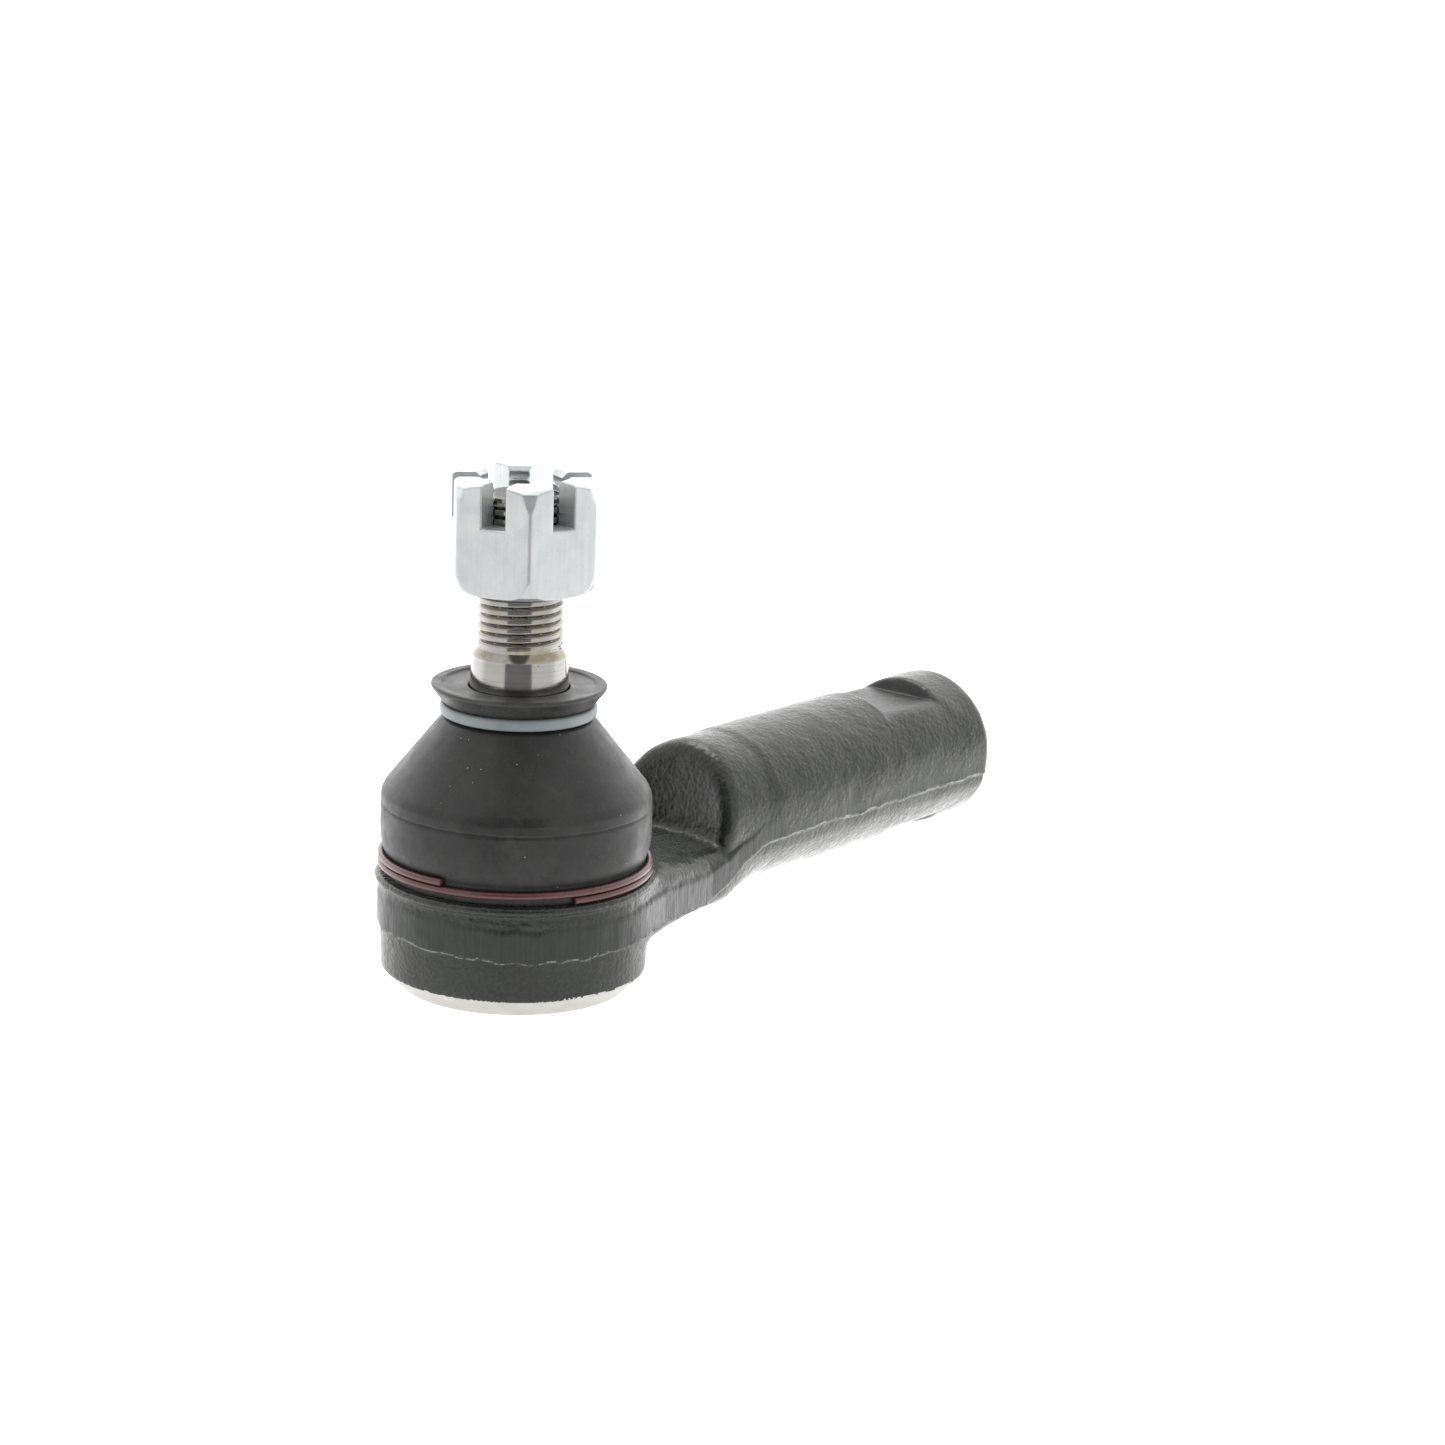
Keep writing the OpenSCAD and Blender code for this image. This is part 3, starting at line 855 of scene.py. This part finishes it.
def forging_field(x, y, z):
    """Barrel, web and shank before machining."""
    r = np.sqrt(x * x + y * y)
    barrel = outline_distance(FORGING_OUTLINE, r, z)
    scallop = scallop_field(r, z)
    shank = smooth_max(shank_field(x, y, z), -scallop, 2.4)
    fillet = 0.9 + 1.3 * smoothstep(0.5, 3, saddle_height(r) - z)
    arm = smooth_min(web_field(x, y, z, r), shank, fillet)
    field = smooth_min(arm, barrel, 1.6)
    over_boot = np.maximum(r - EDGE_R + 0.3, SHOULDER_Z + 0.02 - z)
    field = np.maximum(field, -over_boot)
    field = smooth_min(field, band_field(x, y, z, r), 0.2)
    return smooth_max(field, -flats_field(x, z), 0.9)


def rough_field(x, y, z):
    """The forging with the scale and lumps of its skin."""
    field = forging_field(x, y, z)
    field = np.array(np.broadcast_to(field, np.broadcast(x, y, z).shape))
    near = np.abs(field) < 0.9
    px, py, pz = [np.broadcast_to(a, field.shape)[near] for a in (x, y, z)]
    skin = 0.08 * lumps(px, py, pz, 7.0) + 0.05 * lumps(px, py, pz, 2.6, 5.5)
    skin = skin + 0.025 * lumps(px, py, pz, 1.1, 11.3) - 0.03
    field[near] += skin
    return field


def bevel_field(r, z):
    """What is outside the turned bevel of the barrel's lower edge."""
    return np.minimum((r - RIM_R - (z - BASE_Z) * 0.98) * 0.714, BASE_Z + 4 - z)


def housing_field(x, y, z):
    """The forging after turning, boring and facing."""
    r = np.sqrt(x * x + y * y)
    field = smooth_max(rough_field(x, y, z), bevel_field(r, z), 0.08)
    field = smooth_max(field, BASE_Z - z, 0.15)
    field = np.minimum(field, outline_distance(COLLAR_OUTLINE, r, z))
    field = smooth_max(field, -outline_distance(CAVITY_OUTLINE, r, z), 0.15)
    around = np.sqrt(y * y + (z - SHANK_Z) ** 2)
    bore = np.maximum(around - ROD_R - BORE_GAP, REACH - BORE_LENGTH - x)
    mouth = (around - ROD_R - BORE_GAP - (x - REACH + MOUTH_CHAMFER)) * 0.7
    return smooth_max(smooth_max(field, -bore, 0.12), -mouth, 0.12)


def make_housing():
    """The forged housing, with a material for each kind of surface."""
    low, high = HOUSING_LOW - 0.8, HOUSING_HIGH + 0.8
    step = 0.3
    points, quads = surface_net(housing_field, low, high, step)
    piece = mesh_piece("housing_forging", points, quads)
    x, y, z = points[quads].mean(1).T
    r = np.hypot(x, y)
    around = np.hypot(y, z - SHANK_Z)
    low = parting_height(x, y)
    band = (np.abs(band_field(x, y, z, r)) < 0.16) & (z > low - 0.1)
    burr = np.abs(z - low) < 0.14 + 0.12 * lumps(x, y, 0 * x + 5.1, 1.6)
    bevel = (np.abs(bevel_field(r, z)) < 0.09) & (r < BARREL_R + 1) | (z < BASE_Z + 0.12)
    inner = np.abs(outline_distance(CAVITY_OUTLINE, r, z)) < 0.15
    inner |= (around < ROD_R + 1.2) & (x > REACH - 46)
    inner |= (z > SHOULDER_Z + 0.3) & (r < EDGE_R - 1)
    flats = (np.abs(flats_field(x, z)) < 0.25) & (around > SHANK_R - 2.3)
    which = np.where(band | flats, TRIMMED_FACE, FORGED_FACE)
    which = np.where(burr, BURR_FACE, which)
    which = np.where(bevel | inner, MACHINED_FACE, which)
    piece.data.polygons.foreach_set("material_index", which.astype(np.int32))
    return dress(piece, "housing", "forged_steel", FORGED, TRIMMED, BURR, MACHINED, replaces=["housing"])


def make_rod_thread():
    """The helical rod thread inside the shank, a sleeve set in the bore's wall."""
    length, sleeve_r = ROD_THREAD_LENGTH, ROD_R + 0.4
    rows = int(length / ROD_PITCH * 12)
    places = np.linspace(0, length, rows)
    outline = [(ROD_R - 0.05, place) for place in places] + [(sleeve_r, length), (sleeve_r, 0.6)]

    def radius_at(r, z, angle):
        """The sleeve's bore with the thread, which fades out at both ends."""
        cut = thread_wave(z / ROD_PITCH - angle / (2 * math.pi)) * ROD_THREAD_DEPTH
        ends = smoothstep(0, 1.0, z) * (1 - smoothstep(length - 1.5, length, z))
        return np.where(r < ROD_R + 0.2, ROD_R + 0.05 - cut * ends, r)

    piece = turned("rod_thread", outline, 96, radius_at)
    piece.data.transform(Matrix.Rotation(-math.pi / 2, 4, "Y"))
    piece.data.transform(Matrix.Translation(Vector((REACH * MM, 0, SHANK_Z * MM))))
    return dress(piece, "housing", "forged_steel", MACHINED)


# ---------------- ball stud

def taper_r(z):
    """Radius of the stud's taper."""
    return TAPER_TOP_R + (TAPER_TOP - z) / 16


def make_stud():
    """Ball, neck, taper and helical thread in one turned piece, drilled for the cotter pin."""
    taper_low = RING_Z0 - 4.5
    large_r = taper_r(taper_low)
    flat = 0.83 * BALL_R
    start = math.asin(flat / BALL_R)
    stop = math.acos(NECK_R / BALL_R)
    ball = [(BALL_R * math.cos(a), BALL_R * math.sin(a)) for a in np.linspace(-start, stop, 40)]
    thread_low, chamfer = TAPER_TOP + 1.35, 0.9
    body = [(0, -flat)] + ball + [
        (NECK_R, taper_low - 7),
        (5.8, taper_low - 4.8),
        (6.6, taper_low - 1.8),
        (large_r - 0.15, taper_low - 0.5),
        (large_r, taper_low),
        (6.565, TAPER_TOP - 0.06),
        (6.52, TAPER_TOP),
        (6.12, TAPER_TOP + 0.62),
        (5.85, TAPER_TOP + 1.2)]
    steps = int((STUD_TOP - chamfer - thread_low) / PITCH * 16)
    thread = [(THREAD_R, h) for h in np.linspace(thread_low, STUD_TOP - chamfer, steps)]
    tip = [(THREAD_R - chamfer * i / 6, STUD_TOP - chamfer + chamfer * i / 6) for i in range(1, 7)]
    centre_mark = [(2.2, STUD_TOP), (1.8, STUD_TOP - 0.35), (0, STUD_TOP - 0.9)]
    outline = divided(body, 1.2)[:-1] + thread + tip + centre_mark

    def radius_at(r, z, angle):
        """The stud's radius with the thread cut into its upper part."""
        wave = thread_wave(z / PITCH - angle / (2 * math.pi))
        grows = smoothstep(thread_low - 0.1, thread_low + 0.5, z)
        cut = THREAD_DEPTH * (1 - wave) * grows
        threaded = (z > thread_low - 0.2) & (r > THREAD_R - chamfer - 0.01)
        return np.where(threaded, np.minimum(r, THREAD_R - cut), r)

    piece = turned("ball_stud_steel", outline, 144, radius_at, sharp=25)
    reach = 9
    section = [(0, -reach), (COTTER_R, -reach), (COTTER_R, reach), (0, reach)]
    drill = turned("cotter_drill", divided(section, 6), 40)
    drill.data.transform(Matrix.Rotation(math.pi / 2, 4, "Y"))
    drill.data.transform(Matrix.Rotation(NUT_TURN - math.radians(30), 4, "Z"))
    drill.data.transform(Matrix.Translation((0, 0, COTTER_Z * MM)))
    cut_with(piece, drill)
    piece.data.materials.clear()
    return dress(piece, "stud", "ground_steel", GROUND, replaces=["ball_stud"])


# ---------------- castle nut

NUT_EDGE_R = 0.7
NUT_CORNER_R = NUT_AF / 2 / math.cos(math.radians(30))
NUT_H = NUT_HIGH[2] - NUT_LOW[2]
NUT_ENVELOPE = [
    (-1, 0),
    (NUT_AF / 2 - 0.4, 0),
    (NUT_AF / 2 + 0.3, 0.18),
    (NUT_AF / 2 + 0.75, 0.6),
    (NUT_AF / 2 + 1.05, 1.4),
    (NUT_CORNER_R + 0.05, 3.2),
    (NUT_CORNER_R + 0.05, NUT_H - 3.9),
    (NUT_AF / 2 + 1.1, NUT_H - 2.2),
    (NUT_AF / 2 + 0.92, NUT_H - 0.85),
    (NUT_AF / 2 + 0.2, NUT_H - 0.36),
    (NUT_AF / 2 - 0.4, NUT_H),
    (-1, NUT_H)]
HEXAGON_R = NUT_CORNER_R - NUT_EDGE_R / math.cos(math.pi / 6)
HEXAGON = [(HEXAGON_R * math.cos(math.pi / 3 * k), HEXAGON_R * math.sin(math.pi / 3 * k))
           for k in range(6)]


def nut_field(x, y, z):
    """Hexagon inside a turned envelope, with six slots and a helical thread."""
    c, s = math.cos(-NUT_TURN), math.sin(-NUT_TURN)
    u, v = x * c - y * s, x * s + y * c
    r = np.sqrt(u * u + v * v)
    rise = z - NUT_LOW[2]
    hexagon = outline_distance(HEXAGON, u, v) - NUT_EDGE_R
    envelope = outline_distance(NUT_ENVELOPE, r, rise)
    field = smooth_max(hexagon, envelope, 0.1)
    for k in range(3):
        a = math.radians(30 + 60 * k)
        across = np.abs(-u * math.sin(a) + v * math.cos(a)) - NUT_SLOT_HALF
        slot = np.maximum(across, NUT_H - NUT_SLOT_DEPTH - rise)
        field = smooth_max(field, -slot, 0.22)
    wave = thread_wave(z / PITCH - np.arctan2(y, x) / (2 * math.pi))
    bore = r - (THREAD_R + 0.06 - 0.66 * (1 - wave))
    field = smooth_max(field, -bore * 0.8, 0.1)
    field = smooth_max(field, -(r - THREAD_R - 0.75 + rise) * 0.7, 0.1)
    return smooth_max(field, -(r - THREAD_R - 0.6 + (NUT_H - rise)) * 0.7, 0.1)


def make_nut():
    """The castle nut."""
    step = 0.17
    points, quads = surface_net(nut_field, NUT_LOW - 0.5, NUT_HIGH + 0.5, step)
    piece = mesh_piece("castle_nut_zinc", points, quads)
    return dress(piece, "nut", "zinc_plate", ZINC, replaces=["castle_nut"])


# ---------------- dust boot, ring and clip

SEAM_Z = 17.0
BOOT_WALL = 1.7
CORNER_Z = BELT_TOP + 1.5
FLANK_TOP = (NECK_SEAT_R + 1.6, RING_Z0 - 0.35)
FLANK_LOW = (BELT_R - 0.6, CORNER_Z + 1.1)


def flank_r(z, inset=0.0):
    """Radius of the boot's flank, or of a line inset from it."""
    share = (z - FLANK_LOW[1]) / (FLANK_TOP[1] - FLANK_LOW[1])
    return FLANK_LOW[0] + (FLANK_TOP[0] - FLANK_LOW[0]) * share - inset


def make_boot():
    """The boot in two pieces that meet in its flank."""
    grip = 0.05
    wall_in = BOOT_WALL * 1.27
    inner_r = BELT_R - BOOT_WALL
    lower = [
        (FOOT_R, SHOULDER_Z + grip, 0.15),
        (FOOT_R, SHOULDER_Z + 2.55, 0.2),
        (BELT_R - 0.62, SHOULDER_Z + 2.85, 0.3),
        (BELT_R - 0.36, SHOULDER_Z + 3.6, 0.8),
        (BELT_R - 0.12, SHOULDER_Z + 4.6, 0.9),
        (BELT_R, SHOULDER_Z + 6.0, 0.9),
        (BELT_R, BELT_TOP - 0.5, 0.2),
        (BELT_R - 0.02, BELT_TOP - 0.2, 0.1),
        (BELT_R - 0.2, BELT_TOP + 0.02, 0.05),
        (BELT_R - 0.02, BELT_TOP + 0.3, 0.1),
        (BELT_R - 0.06, CORNER_Z - 0.35, 0.25),
        (BELT_R - 0.1, CORNER_Z + 0.1, 0.25),
        (BELT_R - 0.28, CORNER_Z + 0.5, 0.5),
        (*FLANK_LOW, 0.9),
        (flank_r(SEAM_Z), SEAM_Z, 0),
        (flank_r(SEAM_Z, wall_in), SEAM_Z, 0),
        (inner_r - 0.3, CORNER_Z, 0.5),
        (inner_r, BELT_TOP, 0.5),
        (inner_r, COLLAR_TOP + 1.2, 0.5),
        (COLLAR_R + grip, COLLAR_TOP + grip, 0.2),
        (COLLAR_R + grip, COLLAR_TOP - 1.2, 0.2),
        (GROOVE_R + grip, COLLAR_TOP - 1.45, 0.2),
        (GROOVE_R + grip, SHOULDER_Z + grip, 0.15)]

    def crease(r, z, angle):
        """Makes the crease and the corner above it slightly uneven, as moulded rubber is."""
        c, s = np.cos(angle) * r, np.sin(angle) * r
        uneven = 0.05 * lumps(c, s, z, 3.5, 2.2) + 0.04 * lumps(c, s, z, 1.2, 7.7)
        outer = smoothstep(BELT_R - 1.4, BELT_R - 0.9, r)
        near_crease = np.exp(-((z - BELT_TOP) / 0.35) ** 2)
        near_corner = 0.7 * np.exp(-((z - CORNER_Z - 0.1) / 0.3) ** 2)
        return r + outer * uneven * (0.3 + 1.2 * near_crease + near_corner)

    low_piece = turned("boot_lower", divided(softened(lower), 0.4), 240, crease)
    cavity_top = RING_Z0 - 2.2
    hole_r = taper_r(LIP_TOP)
    bend_r, bend_z = flank_r(24.0, wall_in) + 0.3, 22.4
    upper = [
        (flank_r(SEAM_Z), SEAM_Z, 0),
        (*FLANK_TOP, 0.5),
        (NECK_SEAT_R, RING_Z0 - 0.05, 0.15),
        (NECK_SEAT_R, RING_Z1 + 0.05, 0.1),
        (NECK_SEAT_R + 1.55, RING_Z1 + 0.1, 0.2),
        (LIP_R - 0.55, LIP_TOP - 1.15, 0.5),
        (LIP_R - 0.05, LIP_TOP - 0.55, 0.25),
        (LIP_R, LIP_TOP - 0.2, 0.2),
        (LIP_R - 0.25, LIP_TOP, 0.2),
        (LIP_R - 1.35, LIP_TOP - 0.08, 0.2),
        (LIP_R - 1.6, LIP_TOP - 0.4, 0.15),
        (hole_r + 1.4, LIP_TOP - 0.5, 0.3),
        (hole_r + 0.32, LIP_TOP - 0.42, 0.1),
        (hole_r + 0.22, LIP_TOP - 0.55, 0.05),
        (hole_r + 0.2, LIP_TOP - 1.0, 0.1),
        (hole_r + grip, LIP_TOP - 1.2, 0.1),
        (taper_r(cavity_top) + grip, cavity_top, 0.3),
        (bend_r, bend_z, 0.6),
        (flank_r(SEAM_Z, wall_in), SEAM_Z, 0)]
    top_piece = turned("boot_upper", divided(softened(upper), 0.4), 240)
    for piece in (low_piece, top_piece):
        dress(piece, None, "rubber", RUBBER, replaces=["dust_boot"])
    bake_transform(low_piece)
    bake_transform(top_piece)
    return low_piece, top_piece


def make_ring():
    """The ring that holds the boot's neck."""
    r0, r1 = NECK_SEAT_R + 0.05, RING_R
    outline = rounded([(r0, RING_Z0), (r1, RING_Z0), (r1, RING_Z1), (r0, RING_Z1)], 0.55, 6)
    piece = turned("boot_ring_plastic", divided(outline, 0.6), 160)
    return dress(piece, "ring", "ring_plastic", RING, replaces=["boot_ring"])


def make_clip():
    """The wire clip: one helix around the boot's foot."""
    wire = 0.5
    turns, start = 1.84, math.radians(-113.5)
    low = CLIP_LOW[2] + wire
    rise = CLIP_HIGH[2] - CLIP_LOW[2] - 2 * wire
    reach = FOOT_R + 0.05 + wire

    def centre(t):
        """The wire's centre line."""
        angle = start + 2 * math.pi * turns * t
        return (reach * math.cos(angle), reach * math.sin(angle), low + rise * t)

    piece = swept_wire("boot_clip_wire", centre, wire, 420)
    return dress(piece, "housing", "lacquered_wire", WIRE, replaces=["boot_clip"])


# ---------------- cap and inner pieces

def make_cap():
    """The dished cap pressed into the underside of the barrel."""
    low, dish = CAP_TOP - CAP_T, 0.7
    r0 = CAVITY_R - 1.2
    outline = [
        (0, low - dish, 0),
        (r0 - 1.4, low - dish, 0.8),
        (r0, low, 0.6),
        (CAP_R, low, 0.2),
        (CAP_R, CAP_TOP, 0.2),
        (r0 + 0.4, CAP_TOP, 0.6),
        (r0 - 1, CAP_TOP - dish, 0.6),
        (0, CAP_TOP - dish, 0)]
    piece = turned("end_cap_pressing", divided(softened(outline), 1.0), 128)
    return dress(piece, "housing", "cap_steel", CAP, replaces=["end_cap"])


def dress_cad(node, material):
    """Gives a CAD node that stays a finished material."""
    mesh = frame["nodes"][node].data
    mesh.materials.clear()
    mesh.materials.append(material.made)


make_housing()
make_rod_thread()
make_stud()
make_nut()
make_boot()
make_ring()
make_clip()
make_cap()
dress_cad("disc_spring", SPRING)
dress_cad("lower_seat", ACETAL)
dress_cad("upper_seat", ACETAL)


# ---------------- floor, light and camera

AWAY = (0.788, 0.615)
FLOOR_NEAR, FLOOR_UNDER, FLOOR_FAR = 1.0, 2.6, 1.8
FLOOR_SIZE = 8
BACK_FADE = (-0.06, 0.08)
BARREL_FADE = (0.015, 0.05)
MOUTH_FADE = (0.1, 0.16)
SIDE_FADE = (0.02, 0.07)
WALL_GLOW, BACK_GLOW, GAP_GLOW = 1.15, 2.0, 0.2
GAP_EDGE = (-0.88, -0.78)
BACK_EDGE = (0.1, 0.7)
CARD_GLOW = 0.18
LAMP_PLACE, LAMP_AIM = (0.15, 0.25, 0.6), (0.03, 0, 0)
LAMP_SIZE, LAMP_POWER = 0.35, 1.2
CAMERA_PLACE = (-0.41976, -0.36306, 0.16712)
CAMERA_AZIMUTH, CAMERA_ELEVATION, CAMERA_ROLL = 52.041, 14.369, 1.955
CAMERA_LENS = 103.637


def make_floor():
    """A pale, softly glowing table top: brighter at the back and under the shank."""
    bpy.ops.mesh.primitive_plane_add(size=FLOOR_SIZE, location=(0, 0, BASE_Z * MM))
    floor = bpy.context.object
    floor.name = "floor"
    m = Material("pale_floor", 0.9, 0.0, (0.3, 0.3, 0.3))
    m.feed("Base Color", m.ramp(m.noise(60, 3), (0.3, 0.29), (0.7, 0.31)))
    m.set("Specular IOR Level", 0.0)
    m.set("Emission Color", (1, 1, 1, 1))
    x, y, _ = m.split()
    along = m.maths("ADD", m.maths("MULTIPLY", x, AWAY[0]), m.maths("MULTIPLY", y, AWAY[1]))
    back = m.step(along, *BACK_FADE, FLOOR_NEAR, FLOOR_FAR)
    from_barrel = m.step(x, *BARREL_FADE, 0.0, 1.0)
    to_mouth = m.step(x, *MOUTH_FADE, 1.0, 0.0)
    beside = m.step(m.maths("ABSOLUTE", y), *SIDE_FADE, FLOOR_UNDER, 0.0)
    under = m.maths("MULTIPLY", m.maths("MULTIPLY", from_barrel, to_mouth), beside)
    m.feed("Emission Strength", m.maths("MAXIMUM", back, under))
    floor.data.materials.append(m.made)


def make_card():
    """A dark card on the table in front of the part; only reflections see it."""
    near, far, half, thick = 0.17, 1.6, math.radians(31.5), 0.001
    toward = math.atan2(-AWAY[1], -AWAY[0])
    low = BASE_Z * MM + 0.0005
    angles = np.linspace(toward - half, toward + half, 17)
    section = [(near, low), (far, low), (far, low + thick), (near, low + thick)]
    points = [(r * math.cos(a), r * math.sin(a), z) for a in angles for r, z in section]
    faces = [(4 * i + k, 4 * i + (k + 1) % 4, 4 * i + 4 + (k + 1) % 4, 4 * i + 4 + k)
             for i in range(len(angles) - 1) for k in range(4)]
    last = 4 * len(angles) - 4
    faces += [(3, 2, 1, 0), (last, last + 1, last + 2, last + 3)]
    card = mesh_piece("dark_card", np.array(points) / MM, faces)
    card.visible_camera = False
    m = Material("dark_card", 0.9, 0.0, (0.1, 0.1, 0.1))
    m.feed("Base Color", m.ramp(m.noise(60, 3), (0.3, 0.09), (0.7, 0.11)))
    m.set("Emission Color", (1, 1, 1, 1))
    m.set("Emission Strength", CARD_GLOW)
    card.data.materials.append(m.made)


def world_ramp(nodes, links, along, stops):
    """A smooth step along a direction; stops is (low, high, before, after)."""
    ramp = nodes.new("ShaderNodeMapRange")
    ramp.interpolation_type = "SMOOTHSTEP"
    for socket, value in zip(list(ramp.inputs)[1:5], stops):
        socket.default_value = value
    links.new(along, ramp.inputs["Value"])
    return ramp.outputs["Result"]


def make_world():
    """White walls all round, brightest at the back, with one dark gap opposite it."""
    world = bpy.data.worlds.new("studio")
    world.use_nodes = True
    nodes, links = world.node_tree.nodes, world.node_tree.links
    place = nodes.new("ShaderNodeTexCoord").outputs["Generated"]

    def vector_maths(kind, one, two=None):
        """One sum on vectors."""
        node = nodes.new("ShaderNodeVectorMath")
        node.operation = kind
        links.new(one, node.inputs[0])
        if two is not None:
            node.inputs[1].default_value = two
        return node.outputs

    flat = vector_maths("MULTIPLY", place, (1, 1, 0.35))["Vector"]
    unit = vector_maths("NORMALIZE", flat)["Vector"]
    along = vector_maths("DOT_PRODUCT", unit, (*AWAY, 0))["Value"]
    gap = world_ramp(nodes, links, along, (*GAP_EDGE, GAP_GLOW / WALL_GLOW, 1.0))
    back = world_ramp(nodes, links, along, (*BACK_EDGE, WALL_GLOW, BACK_GLOW))
    both = nodes.new("ShaderNodeMath")
    both.operation = "MULTIPLY"
    links.new(gap, both.inputs[0])
    links.new(back, both.inputs[1])
    links.new(both.outputs[0], nodes["Background"].inputs["Strength"])
    nodes["Background"].inputs["Color"].default_value = (1, 1, 1, 1)
    bpy.context.scene.world = world


def add_light(name, place, aim, size, power):
    """A round lamp at place that shines toward aim."""
    data = bpy.data.lights.new(name, "AREA")
    data.shape = "DISK"
    data.size = size
    data.energy = power
    lamp = bpy.data.objects.new(name, data)
    bpy.context.scene.collection.objects.link(lamp)
    lamp.location = place
    lamp.rotation_euler = (Vector(aim) - Vector(place)).to_track_quat("-Z", "Y").to_euler()


def make_lights():
    """The room's glow and one soft lamp high up behind the part."""
    make_world()
    add_light("top", LAMP_PLACE, LAMP_AIM, LAMP_SIZE, LAMP_POWER)
    bpy.context.scene.view_settings.view_transform = "Standard"


def make_camera():
    """The camera, turned from +Y toward +X by its azimuth and looking down by its elevation."""
    azimuth = math.radians(CAMERA_AZIMUTH)
    elevation = math.radians(CAMERA_ELEVATION)
    roll = math.radians(CAMERA_ROLL)
    right = np.array([math.cos(azimuth), -math.sin(azimuth), 0])
    ahead = np.array([math.sin(azimuth) * math.cos(elevation), math.cos(azimuth) * math.cos(elevation),
                      -math.sin(elevation)])
    up = np.cross(right, ahead)
    tilted_right = right * math.cos(roll) + up * math.sin(roll)
    tilted_up = up * math.cos(roll) - right * math.sin(roll)
    data = bpy.data.cameras.new("camera")
    data.sensor_width = 36
    data.lens = CAMERA_LENS
    data.clip_start = 0.01
    data.clip_end = 20
    camera = bpy.data.objects.new("camera", data)
    bpy.context.scene.collection.objects.link(camera)
    turn = Matrix([[tilted_right[i], tilted_up[i], -ahead[i]] for i in range(3)])
    camera.matrix_world = Matrix.Translation(CAMERA_PLACE) @ turn.to_4x4()
    bpy.context.scene.camera = camera


make_floor()
make_card()
make_lights()
make_camera()
